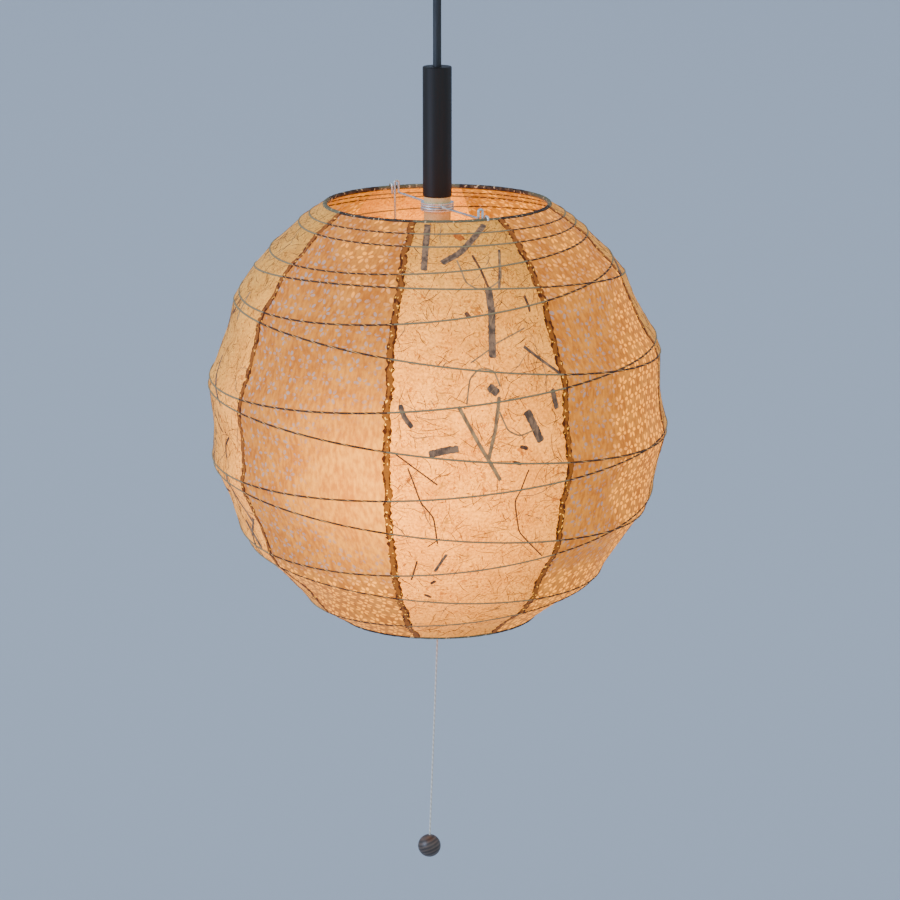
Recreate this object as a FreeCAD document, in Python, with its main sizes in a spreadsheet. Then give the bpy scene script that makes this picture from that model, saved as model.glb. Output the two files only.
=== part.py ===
import FreeCAD, Part
import math
import os
import Sketcher
from FreeCAD import Placement, Rotation, Vector

# Paper lantern hung from the ceiling by its cord. Millimetres, +Z up.
# The origin is on the ceiling, on the lantern's axis. A "rise" is a height above the middle
# of the globe, a "drop" a depth below the ceiling. The front of the lantern is -Y, and every
# azimuth is measured from the front towards +X.

doc = FreeCAD.newDocument("PaperLantern")
sheet = doc.addObject("Spreadsheet::Sheet", "Sizes")

sizes = [
    ("globeDrop", 390, "ceiling to the middle of the globe"),
    ("globeRadius", 185, "outside of the paper at its widest"),
    ("topRingRise", 165, "top ring"),
    ("bottomRingRise", -168, "bottom ring"),
    ("topRingRadius", 89.2, "top ring, to the middle of its wire"),
    ("bottomRingRadius", 80, "bottom ring, to the middle of its wire"),
    ("ringWire", 1.0, "radius of the rings' wire"),
    ("paperWall", 0.6, "paper with its glue and folds"),
    ("goreCount", 8, "panels round the globe"),
    ("firstSeam", -12, "azimuth of the first seam"),
    ("seamGap", 0.5, "between two panels at the widest place"),
    ("ribWire", 0.6, "radius of a rib"),
    ("ribGap", 0.15, "rib to paper, and rib to rib where they cross"),
    ("strapGap", 4.8, "strap's ends to the inside of the canopy"),
    ("strapWidth", 18, "ceiling strap"),
    ("strapWall", 1.6, "ceiling strap"),
    ("strapHoleSpacing", 46, "between the two ceiling screws"),
    ("strapHole", 2.2, "radius of a ceiling screw's hole"),
    ("strapTab", 16, "depth of the strap's turned-down ends"),
    ("canopyRadius", 45, "outside"),
    ("canopyDepth", 42, "ceiling to the underside"),
    ("canopyWall", 1.2, "canopy"),
    ("canopyEdge", 3.4, "rounding of the canopy's lower edge"),
    ("canopyScrewDrop", 9, "height of the two side screws"),
    ("screwSeat", 0.3, "side screw's head to the canopy"),
    ("screwShank", 1.5, "radius of a side screw"),
    ("screwHead", 3.2, "radius of a side screw's head"),
    ("headHeight", 1.8, "side screw"),
    ("screwLength", 7.5, "side screw under its head"),
    ("bushThread", 6.6, "radius of the outlet bush in the canopy"),
    ("bushFlange", 9.5, "radius of the bush below the canopy"),
    ("bushBottom", 49, "ceiling to the mouth of the bush"),
    ("bushTop", 29, "ceiling to the top of the bush"),
    ("bushMouth", 6.5, "radius of the flared mouth"),
    ("bushNut", 9.5, "radius of the nut inside the canopy"),
    ("nutHeight", 3.5, "bush nut"),
    ("swingDrop", 36, "ceiling to where the cord bends"),
    ("cordRadius", 3.3, "power cord"),
    ("cordGap", 0.35, "round the cord where it can move"),
    ("blockDrop", 9, "ceiling to the top of the terminal block"),
    ("blockHeight", 13, "terminal block"),
    ("blockLength", 26, "terminal block"),
    ("blockWidth", 14, "terminal block"),
    ("blockBore", 2.2, "radius of the terminal block's wells"),
    ("blockWell", 6.5, "depth of the terminal block's wells"),
    ("postRadius", 2.6, "post between the strap and the terminal block"),
    ("tubeGap", 0.5, "neck to the inside of the cover tube"),
    ("tubeWall", 1.4, "cover tube"),
    ("tubeLength", 103, "cover tube"),
    ("tubeRise", 172, "bottom of the cover tube"),
    ("tubeCap", 2, "thickness of the tube's top"),
    ("tubeEdge", 0.5, "chamfer of the tube's ends"),
    ("neckRadius", 9.6, "threaded neck of the lampholder"),
    ("neckTop", 184, "end of the neck, inside the tube"),
    ("neckGrip", 12, "cord held inside the neck"),
    ("nutWall", 1.1, "nuts on the neck"),
    ("threadGap", 0.08, "nuts and washers on the neck"),
    ("washerBrim", 3.7, "neck to the edge of the zinc washers"),
    ("washerWall", 1.1, "zinc washers"),
    ("washerRise", 166.3, "underside of the upper washer"),
    ("eyeGap", 1.7, "neck to the wire clamped round it"),
    ("frameWire", 1.0, "radius of the stretcher frame's wire"),
    ("wireGap", 0.06, "between turns clamped on the neck"),
    ("frameAzimuth", 22.5, "front leg of the stretcher frame"),
    ("housingRadius", 17, "switch housing"),
    ("housingTop", 150, "shoulder of the switch housing"),
    ("housingBottom", 100, "rim of the switch housing"),
    ("housingWall", 2, "switch housing"),
    ("neckNutHeight", 8, "lower nut on the neck"),
    ("discWall", 3, "insulating disc over the socket"),
    ("bulbNeck", 1.5, "bulb's glass neck past its cap"),
    ("skirtGap", 2.0, "bulb's neck to the inside of the skirt"),
    ("skirtBottom", 72, "mouth of the skirt"),
    ("skirtWall", 2, "socket skirt"),
    ("skirtLip", 1.5, "top of the skirt under the insulating disc"),
    ("capRadius", 13.0, "screw cap of the bulb"),
    ("capLength", 23, "screw cap of the bulb"),
    ("shellGap", 0.35, "bulb cap to screw shell"),
    ("shellWall", 0.5, "screw shell"),
    ("bulbRadius", 30, "bulb at its widest"),
    ("bulbRise", -3, "widest place of the bulb"),
    ("bulbWall", 1.0, "bulb"),
    ("emitterRadius", 9, "light source inside the bulb"),
    ("guideReach", 36, "axis to the pull cord"),
    ("guideAzimuth", 17, "side that the pull cord hangs on"),
    ("guideRise", 118, "cord guide through the housing"),
    ("guideMouth", 103, "mouth of the guide"),
    ("guideRadius", 2.6, "cord guide, outside"),
    ("guideBore", 1.9, "cord guide, inside"),
    ("ferruleRadius", 1.5, "ferrule on the pull cord"),
    ("ferruleLength", 6, "ferrule on the pull cord"),
    ("cordSeat", 0.8, "start of the pull cord above the ferrule's mouth"),
    ("pullCordRadius", 0.7, "pull cord"),
    ("beadRadius", 9.35, "wooden bead"),
    ("beadRise", -362, "middle of the bead"),
    ("beadSide", -7, "middle of the bead, sideways"),
    ("knotRadius", 1.6, "knot under the bead"),
    ("knotSink", 3.2, "top of the knot above the bead's bottom"),
    ("leverRise", 127, "pivot of the switch lever"),
    ("leverPivot", 7, "pivot behind the axis"),
    ("leverArm", 14, "pivot to the cord's pull"),
    ("pinRadius", 1.5, "pivot pin"),
    ("pinLength", 15, "pivot pin"),
    ("leverWall", 3, "switch lever"),
    ("loopWidth", 3.4, "hairpin loop of the frame's legs"),
    ("wireBend", 1.65, "bends of the frame's legs"),
]
for row, (alias, value, note) in enumerate(sizes, start=1):
    sheet.set("A%d" % row, alias)
    sheet.set("B%d" % row, str(value))
    sheet.set("C%d" % row, note)
    sheet.setAlias("B%d" % row, alias)
doc.recompute()
aliases = [alias for alias, value, note in sizes]
v = {alias: float(sheet.get(alias)) for alias in aliases}
nodes = []


def bound(expression):
    """The expression with the sheet's name before each of its aliases."""
    out = ""
    word = ""
    for letter in expression + " ":
        if letter.isalnum():
            word += letter
        else:
            out += ("Sizes." + word if word in aliases else word) + letter
            word = ""
    return out.strip()


def place(obj, x="0", y="0", z="0"):
    for axis, expression in (("x", x), ("y", y), ("z", z)):
        obj.setExpression("Placement.Base." + axis, bound(expression))


def keep(obj, name):
    obj.Label = name
    nodes.append(obj)
    return obj


def originPlane(body, role):
    return [feature for feature in body.Origin.OriginFeatures if feature.Role == role][0]


def outlineSketch(body, role, outline):
    """A closed polygon whose every corner is bound to the sheet."""
    sketch = body.newObject("Sketcher::SketchObject", body.Name + "Sketch")
    sketch.AttachmentSupport = [(originPlane(body, role), "")]
    sketch.MapMode = "FlatFace"
    count = len(outline)
    for i in range(count):
        start = 2 * math.pi * i / count
        end = 2 * math.pi * (i + 1) / count
        sketch.addGeometry(Part.LineSegment(
            Vector(20 + math.cos(start), 20 + math.sin(start), 0),
            Vector(20 + math.cos(end), 20 + math.sin(end), 0)), False)
    for i in range(count):
        sketch.addConstraint(Sketcher.Constraint("Coincident", i, 2, (i + 1) % count, 1))
    for i, corner in enumerate(outline):
        for kind, axisLine, expression in (("DistanceX", -2, corner[0]), ("DistanceY", -1, corner[1])):
            if expression == "0":
                sketch.addConstraint(Sketcher.Constraint("PointOnObject", i, 1, axisLine))
            else:
                made = sketch.addConstraint(Sketcher.Constraint(kind, -1, 1, i, 1, 20.0))
                sketch.setExpression("Constraints[%d]" % made, bound(expression))
    return sketch


def turnedBlank(name, outline, z):
    """A body turned about +Z; the outline's corners are (radius, height above its base)."""
    body = doc.addObject("PartDesign::Body", name)
    sketch = outlineSketch(body, "XZ_Plane", outline)
    revolution = body.newObject("PartDesign::Revolution", name + "Turn")
    revolution.Profile = sketch
    revolution.ReferenceAxis = (sketch, ["V_Axis"])
    revolution.Angle = 360
    place(body, z=z)
    return body


def turned(name, outline, z="0"):
    return keep(turnedBlank(name, outline, z), name)


def collar(name, outer, inner, height, z):
    outline = [(inner, "0"), (outer, "0"), (outer, height), (inner, height)]
    return turned(name, outline, z)


def primitive(kind, name, x="0", y="0", z="0", **lengths):
    obj = doc.addObject("Part::" + kind, name)
    for key, expression in lengths.items():
        obj.setExpression(key, bound(expression))
    place(obj, x, y, z)
    return obj


def cut(name, base, tools):
    result = base
    for i, tool in enumerate(tools, start=1):
        difference = doc.addObject("Part::Cut", "%sCut%d" % (name, i))
        difference.Base = result
        difference.Tool = tool
        result = difference
    return result


def fused(name, parts):
    union = doc.addObject("Part::MultiFuse", name)
    union.Shapes = parts
    return union


def lying(obj):
    """Turns a primitive's own +Z to +X."""
    obj.Placement.Rotation = Rotation(Vector(0, 1, 0), 90)
    return obj


def shaped(name, shape):
    """A sub-part whose free form is worked out from the sheet's values."""
    feature = doc.addObject("Part::Feature", name)
    feature.Shape = shape
    return keep(feature, name)


def bearing(azimuth):
    """Rotation about +Z that takes +X to an azimuth."""
    return azimuth - 90.0


def toward(azimuth, radius, z):
    angle = math.radians(bearing(azimuth))
    return Vector(radius * math.cos(angle), radius * math.sin(angle), z)


def roundedPath(points, bend):
    """Straight runs joined by tangent arcs of one radius."""
    edges = []
    last = points[0]
    for i in range(1, len(points) - 1):
        corner = points[i]
        back = (points[i - 1] - corner).normalize()
        onward = (points[i + 1] - corner).normalize()
        half = back.getAngle(onward) / 2
        reach = bend / math.tan(half)
        start = corner + back * reach
        end = corner + onward * reach
        middle = corner + (back + onward).normalize() * (bend / math.sin(half) - bend)
        edges.append(Part.LineSegment(last, start).toShape())
        edges.append(Part.Arc(start, middle, end).toShape())
        last = end
    edges.append(Part.LineSegment(last, points[-1]).toShape())
    return Part.Wire(edges)


def bentWire(points, bend, radius):
    path = roundedPath(points, bend)
    section = Part.Wire([Part.Circle(points[0], points[1] - points[0], radius).toShape()])
    return path.makePipeShell([section], True, False)


# Ceiling: strap, canopy, side screws, outlet bush and terminal block.

strapLength = "(2*(canopyRadius-canopyWall-strapGap))"
strapPlate = primitive("Box", "StrapPlate", "-%s/2" % strapLength, "-strapWidth/2", "-strapWall",
                       Length=strapLength, Width="strapWidth", Height="strapWall")
strapEnds = [
    primitive("Box", "StrapEnd%d" % (i + 1), x, "-strapWidth/2", "-strapTab",
              Length="strapWall", Width="strapWidth", Height="strapTab")
    for i, x in enumerate(("-%s/2" % strapLength, "%s/2-strapWall" % strapLength))]
strapHoles = [
    primitive("Cylinder", "StrapHole%d" % (i + 1), x, "0", "-2*strapWall",
              Radius="strapHole", Height="3*strapWall")
    for i, x in enumerate(("-strapHoleSpacing/2", "strapHoleSpacing/2"))]
strapTapping = lying(primitive("Cylinder", "StrapTapping", "-2*canopyRadius", "0", "-canopyScrewDrop",
                               Radius="screwShank+threadGap", Height="4*canopyRadius"))
keep(cut("Strap", fused("StrapBlank", [strapPlate] + strapEnds), strapHoles + [strapTapping]),
     "ceiling_strap")

canopyBore = "canopyRadius-canopyWall"
canopyBlank = turnedBlank("CanopyBlank", [
    ("bushThread+threadGap", "0"), ("canopyRadius-canopyEdge", "0"),
    ("canopyRadius-0.3*canopyEdge", "0.3*canopyEdge"), ("canopyRadius", "canopyEdge"),
    ("canopyRadius", "canopyDepth"), (canopyBore, "canopyDepth"), (canopyBore, "canopyEdge"),
    (canopyBore + "-0.3*(canopyEdge-canopyWall)", "canopyWall+0.3*(canopyEdge-canopyWall)"),
    (canopyBore + "-canopyEdge+canopyWall", "canopyWall"),
    ("bushThread+threadGap", "canopyWall")], "-canopyDepth")
canopyDrilling = lying(primitive("Cylinder", "CanopyDrilling", "-2*canopyRadius", "0",
                                 "-canopyScrewDrop", Radius="screwShank+2*threadGap",
                                 Height="4*canopyRadius"))
keep(cut("Canopy", canopyBlank, [canopyDrilling]), "canopy_cup")

screwPieces = []
screwSeat = "(canopyRadius+screwSeat)"
for headStart, shankStart in (("-%s-headHeight" % screwSeat, "-" + screwSeat),
                              (screwSeat, screwSeat + "-screwLength")):
    screwHead = lying(primitive("Cylinder", "ScrewHead", headStart, "0", "-canopyScrewDrop",
                                Radius="screwHead", Height="headHeight"))
    shank = lying(primitive("Cylinder", "ScrewShank", shankStart, "0", "-canopyScrewDrop",
                            Radius="screwShank", Height="screwLength"))
    screwPieces.append(fused("SideScrew", [screwHead, shank]))
canopyScrews = doc.addObject("Part::Compound", "CanopyScrews")
canopyScrews.Links = screwPieces
keep(canopyScrews, "canopy_screws")

bushHeight = "(bushBottom-bushTop)"
bendRise = "(bushBottom-swingDrop)"
collarRise = "(bushBottom-canopyDepth)"
turned("outlet_bush", [
    ("bushMouth", "0"), ("bushFlange-0.8", "0"), ("bushFlange", "0.8"), ("bushFlange", collarRise),
    ("bushThread", collarRise), ("bushThread", bushHeight), ("cordRadius+cordGap", bushHeight),
    ("cordRadius+cordGap", bendRise)], "-bushBottom")
collar("bush_nut", "bushNut", "bushThread+threadGap", "nutHeight", "-canopyDepth+canopyWall")

blockBody = primitive("Box", "BlockBody", "-blockLength/2", "-blockWidth/2",
                      "-blockDrop-blockHeight", Length="blockLength", Width="blockWidth",
                      Height="blockHeight")
blockBores = [
    primitive("Cylinder", "BlockBore%d" % (i + 1), x, "0", "-blockDrop-blockWell",
              Radius="blockBore", Height="2*blockWell")
    for i, x in enumerate(("-blockLength/4", "blockLength/4"))]
cordEntry = 4
blockInlet = primitive("Cylinder", "BlockInlet", "0", "0", "-blockDrop-2*blockHeight",
                       Radius="cordRadius+cordGap", Height="blockHeight+%g" % cordEntry)
keep(cut("Block", blockBody, blockBores + [blockInlet]), "terminal_block")
blockScrews = doc.addObject("Part::Compound", "BlockScrews")
blockScrews.Links = [
    primitive("Cylinder", "BlockScrew%d" % (i + 1), x, "0", "-blockDrop-blockWell+threadGap",
              Radius="blockBore-threadGap", Height="0.7*blockWell")
    for i, x in enumerate(("-blockLength/4", "blockLength/4"))]
keep(blockScrews, "terminal_screws")
keep(primitive("Cylinder", "BlockPost", "0", "0", "-blockDrop", Radius="postRadius",
               Height="blockDrop-strapWall"), "block_post")

# Power cord and cover tube.

cordTail = primitive("Cylinder", "CordTail", "0", "0", "-swingDrop+cordRadius+cordGap",
                     Radius="cordRadius",
                     Height="swingDrop-cordRadius-cordGap-blockDrop-blockHeight+%g" % (
                         cordEntry - 0.2))
keep(cordTail, "cord_tail")
cordRun = primitive("Cylinder", "CordRun", "0", "0", "-globeDrop+neckTop-neckGrip",
                    Radius="cordRadius", Height="globeDrop-swingDrop-neckTop+neckGrip")
cordEnd = primitive("Sphere", "CordEnd", "0", "0", "-swingDrop", Radius="cordRadius")
keep(fused("PowerCord", [cordRun, cordEnd]), "power_cord")

tubeBore = "neckRadius+tubeGap"
tubeRadius = tubeBore + "+tubeWall"
turned("cover_tube", [
    (tubeBore, "0"), (tubeRadius + "-tubeEdge", "0"), (tubeRadius, "2*tubeEdge"),
    (tubeRadius, "tubeLength-tubeEdge"), (tubeRadius + "-tubeEdge", "tubeLength"),
    ("cordRadius+cordGap", "tubeLength"), ("cordRadius+cordGap", "tubeLength-tubeCap"),
    (tubeBore, "tubeLength-tubeCap")], "-globeDrop+tubeRise")

# Lampholder: switch housing with its neck, nuts, washers and socket.

housingDepth = "(housingTop-housingBottom)"
neckDepth = "(neckTop-housingBottom)"
housingBore = "housingRadius-housingWall"
housingBlank = turnedBlank("HousingBlank", [
    (housingBore, "0"), ("housingRadius", "0"), ("housingRadius", housingDepth + "-4"),
    ("housingRadius-4", housingDepth), ("neckRadius", housingDepth), ("neckRadius", neckDepth),
    ("cordRadius+0.1", neckDepth), ("cordRadius+0.1", housingDepth + "-housingWall"),
    ("housingRadius-5", housingDepth + "-housingWall"), (housingBore, housingDepth + "-6")],
    "-globeDrop+housingBottom")
guideDrilling = primitive("Cylinder", "GuideDrilling", "0", "0", "-globeDrop+guideRise",
                          Radius="guideRadius+threadGap", Height="2*housingRadius")
guideDrilling.Placement.Rotation = Rotation(Vector(0, 0, 1), toward(v["guideAzimuth"], 1, 0))
keep(cut("Housing", housingBlank, [guideDrilling]), "switch_housing")

nutBore = "neckRadius+threadGap"
stackTop = "washerRise+washerWall+wireGap"
collar("collar_nut", "neckRadius+nutWall", nutBore, "tubeRise-wireGap-(%s)" % stackTop,
       "-globeDrop+" + stackTop)
collar("washer_upper", "neckRadius+washerBrim", nutBore, "washerWall", "-globeDrop+washerRise")
wirePitch = 2 * v["frameWire"] + v["wireGap"]
upperEye = v["washerRise"] - v["wireGap"] - v["frameWire"]
lowerEye = upperEye - wirePitch
lowerWasher = "(washerRise-3*wireGap-4*frameWire-washerWall)"
collar("washer_lower", "neckRadius+washerBrim", nutBore, "washerWall", "-globeDrop+" + lowerWasher)
collar("neck_nut", "neckRadius+nutWall", nutBore, "neckNutHeight",
       "-globeDrop+%s-wireGap-neckNutHeight" % lowerWasher)

collar("socket_disc", "housingRadius-housingWall-threadGap", "2.4", "discWall",
       "-globeDrop+housingBottom")
skirtBore = "capRadius+bulbNeck+skirtGap"
skirtHeight = "housingBottom-skirtBottom-threadGap"
skirtMouth = "housingRadius-housingWall-skirtLip"
turned("socket_skirt", [
    (skirtBore, "0"), (skirtBore + "+skirtWall", "0"), (skirtBore + "+skirtWall", skirtHeight),
    (skirtMouth, skirtHeight), (skirtMouth, skirtHeight + "-skirtWall"),
    (skirtBore, skirtHeight + "-skirtWall")], "-globeDrop+skirtBottom")
collar("screw_shell", "capRadius+shellGap+shellWall", "capRadius+shellGap",
       "housingBottom-skirtBottom-7", "-globeDrop+skirtBottom+4")
turned("centre_contact", [
    ("0", "0"), ("4", "0"), ("4", "0.8"), ("2.2", "0.8"), ("2.2", "3.5+discWall"),
    ("0", "3.5+discWall")], "-globeDrop+housingBottom-2.7")

# Pull switch inside the housing.

leverRotation = Rotation(Vector(0, 0, 1), bearing(v["guideAzimuth"]))


def onGuideSide(shape):
    """Moves a shape drawn with the guide on +X, heights as rises, to its real place."""
    shape.Placement = Placement(Vector(0, 0, -v["globeDrop"]), leverRotation)
    return shape.copy()


def crossPin(radius, length, x, z):
    return Part.makeCylinder(radius, length, Vector(x, -length / 2, z), Vector(0, 1, 0))


pinX = -v["leverPivot"]
pinZ = v["leverRise"]
hubRadius = v["pinRadius"] + 2
leverThickness = v["leverWall"]
leverHub = crossPin(hubRadius, leverThickness, pinX, pinZ)
leverBar = Part.makeBox(v["leverArm"] + 1.2, leverThickness, 2.4,
                        Vector(pinX, -leverThickness / 2, pinZ - 1.2))
leverBore = crossPin(v["pinRadius"] + 0.05, 2 * leverThickness, pinX, pinZ)
leverEye = crossPin(0.7, 2 * leverThickness, pinX + v["leverArm"], pinZ)
shaped("switch_lever", onGuideSide(leverHub.fuse(leverBar).cut(leverBore).cut(leverEye)))

shaped("lever_pin", onGuideSide(crossPin(v["pinRadius"], v["pinLength"], pinX, pinZ)))

springWire = 0.4
springTurns = 3
springRadius = hubRadius - 0.9
springPath = Part.makeHelix(2.4 * springWire, springTurns * 2.4 * springWire, springRadius)
springStart = Vector(springRadius, 0, 0)
springSection = Part.Wire([Part.Circle(springStart, Vector(0, 1, 0), springWire).toShape()])
spring = springPath.makePipeShell([springSection], True, True)
spring.Placement = Placement(Vector(pinX, leverThickness / 2 + 0.7, pinZ),
                             Rotation(Vector(1, 0, 0), -90))
shaped("return_spring", onGuideSide(Part.makeCompound([spring])))

bracketWall = 1.2
bracketWidth = 8
bracketReach = v["pinLength"] / 2 - 0.7
cheeks = [
    Part.makeBox(bracketWidth, bracketWall, 14, Vector(pinX - bracketWidth / 2, y, pinZ - 5))
    for y in (-bracketReach, bracketReach - bracketWall)]
bracketTop = Part.makeBox(bracketWidth, 2 * bracketReach, bracketWall,
                          Vector(pinX - bracketWidth / 2, -bracketReach, pinZ + 9))
bracket = bracketTop.fuse(cheeks).cut(
    crossPin(v["pinRadius"] + 0.02, 2 * v["pinLength"], pinX, pinZ)).removeSplitter()
shaped("switch_bracket", onGuideSide(bracket))

contactPair = [
    Part.makeBox(0.8, 3, 16, Vector(x, y - 1.5, v["housingBottom"] + v["discWall"] + 0.05))
    for x, y in ((3.4, -9.4), (3.4, 9.4))]
shaped("contact_blades", onGuideSide(Part.makeCompound(contactPair)))

guidePoints = [
    Vector(v["housingRadius"] - v["housingWall"] - 1, 0, v["guideRise"]),
    Vector(v["guideReach"], 0, v["guideRise"]),
    Vector(v["guideReach"], 0, v["guideMouth"])]
guideBend = 6
guideOuter = bentWire(guidePoints, guideBend, v["guideRadius"])
guideLip = Part.makeTorus(v["guideRadius"], 0.7, Vector(v["guideReach"], 0, v["guideMouth"] + 0.7))
guidePassage = bentWire([guidePoints[0] - Vector(2, 0, 0), guidePoints[1],
                         guidePoints[2] - Vector(0, 0, 2)], guideBend, v["guideBore"])
shaped("cord_guide", onGuideSide(guideOuter.fuse(guideLip).cut(guidePassage)))

# Pull cord with its ferrule, bead and knot.

pullTop = toward(v["guideAzimuth"], v["guideReach"], v["guideMouth"] + 0.5 - v["globeDrop"])
beadCentre = Vector(v["beadSide"], pullTop.y, v["beadRise"] - v["globeDrop"])
pullLine = (beadCentre - pullTop).normalize()
beadBore = v["pullCordRadius"] + 0.1
ferrule = Part.makeCylinder(v["ferruleRadius"], v["ferruleLength"], pullTop, Vector(0, 0, 1))
shaped("pull_ferrule", ferrule)
pullLength = (beadCentre - pullTop).Length + v["beadRadius"] - v["knotSink"] - v["cordSeat"]
shaped("pull_cord", Part.makeCylinder(v["pullCordRadius"], pullLength,
                                      pullTop + pullLine * v["cordSeat"], pullLine))
beadBall = Part.makeSphere(v["beadRadius"], beadCentre)
boreStart = beadCentre - pullLine * 2 * v["beadRadius"]
knotTop = beadCentre + pullLine * (v["beadRadius"] - v["knotSink"])
knotCentre = knotTop + pullLine * (v["knotRadius"] - 0.5)
knotGap = 0.3
recess = Part.makeCylinder(v["knotRadius"] + knotGap, v["beadRadius"],
                           knotTop - pullLine * 0.8, pullLine)
bead = beadBall.cut(Part.makeCylinder(beadBore, 4 * v["beadRadius"], boreStart, pullLine)).cut(recess)
shaped("pull_bead", bead)
knot = Part.makeSphere(v["knotRadius"], knotCentre).cut(
    Part.makeCylinder(3 * v["knotRadius"], 3 * v["knotRadius"], knotTop, pullLine * -1))
shaped("pull_knot", knot)

# Bulb.

turned("bulb_cap", [
    ("0", "0"), ("capRadius-0.2", "0"), ("capRadius", "1"), ("capRadius", "capLength-4"),
    ("capRadius-1.2", "capLength-2.5"), ("6.5", "capLength-1"), ("4.2", "capLength"),
    ("0", "capLength")], "-globeDrop+skirtBottom+2")

bulbTop = v["skirtBottom"] + 1.9


def bulbOutline(inset):
    """Neck, cone and ball of the bulb, as edges in the XZ plane."""
    ball = v["bulbRadius"] - inset
    neck = v["capRadius"] + v["bulbNeck"] - inset
    middle = v["bulbRise"]
    shoulder = math.radians(42)
    tangent = Vector(ball * math.cos(shoulder), 0, middle + ball * math.sin(shoulder))
    bottom = Vector(0, 0, middle - ball)
    ballArc = Part.Arc(bottom, Vector(ball * math.cos(-0.6), 0, middle + ball * math.sin(-0.6)), tangent)
    coneEnd = Vector(neck, 0, bulbTop - 9 - inset)
    top = Vector(neck, 0, bulbTop - inset)
    axisTop = Vector(0, 0, top.z)
    corners = [tangent, coneEnd, top, axisTop, bottom]
    lines = [Part.LineSegment(a, b).toShape() for a, b in zip(corners, corners[1:])]
    return Part.Wire([ballArc.toShape()] + lines)


def spun(wire):
    return Part.Face(wire).revolve(Vector(0, 0, 0), Vector(0, 0, 1), 360)


def atGlobe(shape):
    shape.translate(Vector(0, 0, -v["globeDrop"]))
    return shape


shaped("bulb_glass", atGlobe(spun(bulbOutline(0)).cut(spun(bulbOutline(v["bulbWall"])))))
turned("bulb_emitter", [
    ("0", "0"), ("emitterRadius", "0"), ("emitterRadius", "10"), ("emitterRadius/2", "24"),
    ("emitterRadius/2", "skirtBottom-bulbRise-bulbWall"),
    ("0", "skirtBottom-bulbRise-bulbWall")], "-globeDrop+bulbRise")

# Rings, paper panels and ribs.

for name, rise, radius in (("top_ring", "topRingRise", "topRingRadius"),
                           ("bottom_ring", "bottomRingRise", "bottomRingRadius")):
    keep(primitive("Torus", name, "0", "0", "-globeDrop+" + rise,
                   Radius1=radius, Radius2="ringWire"), name)

# Each half of the globe's outline is one arc, upright at the widest place, that passes
# just outside its ring.
ringSeat = v["ringWire"] + v["ribGap"] + v["paperWall"]


def arcRadius(ringRadius, ringRise):
    inward = v["globeRadius"] - ringRadius
    return (inward ** 2 + ringRise ** 2 - ringSeat ** 2) / (2 * (inward - ringSeat))


upperArc = arcRadius(v["topRingRadius"], v["topRingRise"])
lowerArc = arcRadius(v["bottomRingRadius"], v["bottomRingRise"])


def outlinePoint(arc, angle, inset):
    return Vector(v["globeRadius"] - arc + (arc - inset) * math.cos(angle), 0,
                  (arc - inset) * math.sin(angle))


topAngle = math.atan2(v["topRingRise"], v["topRingRadius"] - v["globeRadius"] + upperArc)
bottomAngle = math.atan2(v["bottomRingRise"], v["bottomRingRadius"] - v["globeRadius"] + lowerArc)


def halfArcs(inset):
    upper = Part.Arc(outlinePoint(upperArc, 0, inset), outlinePoint(upperArc, topAngle / 2, inset),
                     outlinePoint(upperArc, topAngle, inset))
    lower = Part.Arc(outlinePoint(lowerArc, bottomAngle, inset),
                     outlinePoint(lowerArc, bottomAngle / 2, inset),
                     outlinePoint(lowerArc, 0, inset))
    return [lower.toShape(), upper.toShape()]


goreOutline = Part.Wire(
    halfArcs(0)
    + [Part.LineSegment(outlinePoint(upperArc, topAngle, 0),
                        outlinePoint(upperArc, topAngle, v["paperWall"])).toShape()]
    + [edge for edge in reversed(halfArcs(v["paperWall"]))]
    + [Part.LineSegment(outlinePoint(lowerArc, bottomAngle, v["paperWall"]),
                        outlinePoint(lowerArc, bottomAngle, 0)).toShape()])
goreAngle = 360.0 / v["goreCount"]
gapAngle = math.degrees(v["seamGap"] / v["globeRadius"])
for i in range(int(v["goreCount"])):
    paper = "cream" if i % 2 == 0 else "lace"
    gore = Part.Face(goreOutline).revolve(Vector(0, 0, 0), Vector(0, 0, 1), goreAngle - gapAngle)
    start = bearing(v["firstSeam"] + i * goreAngle) + gapAngle / 2
    gore.Placement = Placement(Vector(0, 0, -v["globeDrop"]), Rotation(Vector(0, 0, 1), start))
    shaped("panel_%s_%d" % (paper, i // 2 + 1), gore)

# Thin ribs inside the paper, from the top: the height of the hoop on the axis as a share of
# the nearer ring's, how many degrees it rises to the right, and how many it rises to the back.
ribs = [
    (0.964, 0, 0), (0.927, 0, 1), (0.842, 3, 2), (0.691, -1, -4), (0.685, 5, 4), (0.430, -7, 0),
    (0.279, 5, 2), (0.018, -6, 0), (-0.137, 4, 2), (-0.357, -6, 1), (-0.464, 5, 6),
    (-0.702, -5, 2), (-0.857, 5, 3)]


def hoopPoint(rise, uphill, turn, layer):
    """Where a tilted hoop meets the paper's inside, less the layer, at a turn from its uphill side."""
    slope = uphill.Length * math.cos(turn)
    arc = upperArc if rise + slope * v["globeRadius"] > 0 else lowerArc
    middle = v["globeRadius"] - arc
    a = 1 + slope ** 2
    b = slope * rise - middle
    c = middle ** 2 + rise ** 2 - (arc - layer) ** 2
    reach = (math.sqrt(b ** 2 - a * c) - b) / a
    bearingUp = math.atan2(uphill.y, uphill.x) + turn
    return Vector(reach * math.cos(bearingUp), reach * math.sin(bearingUp), rise + slope * reach)


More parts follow.
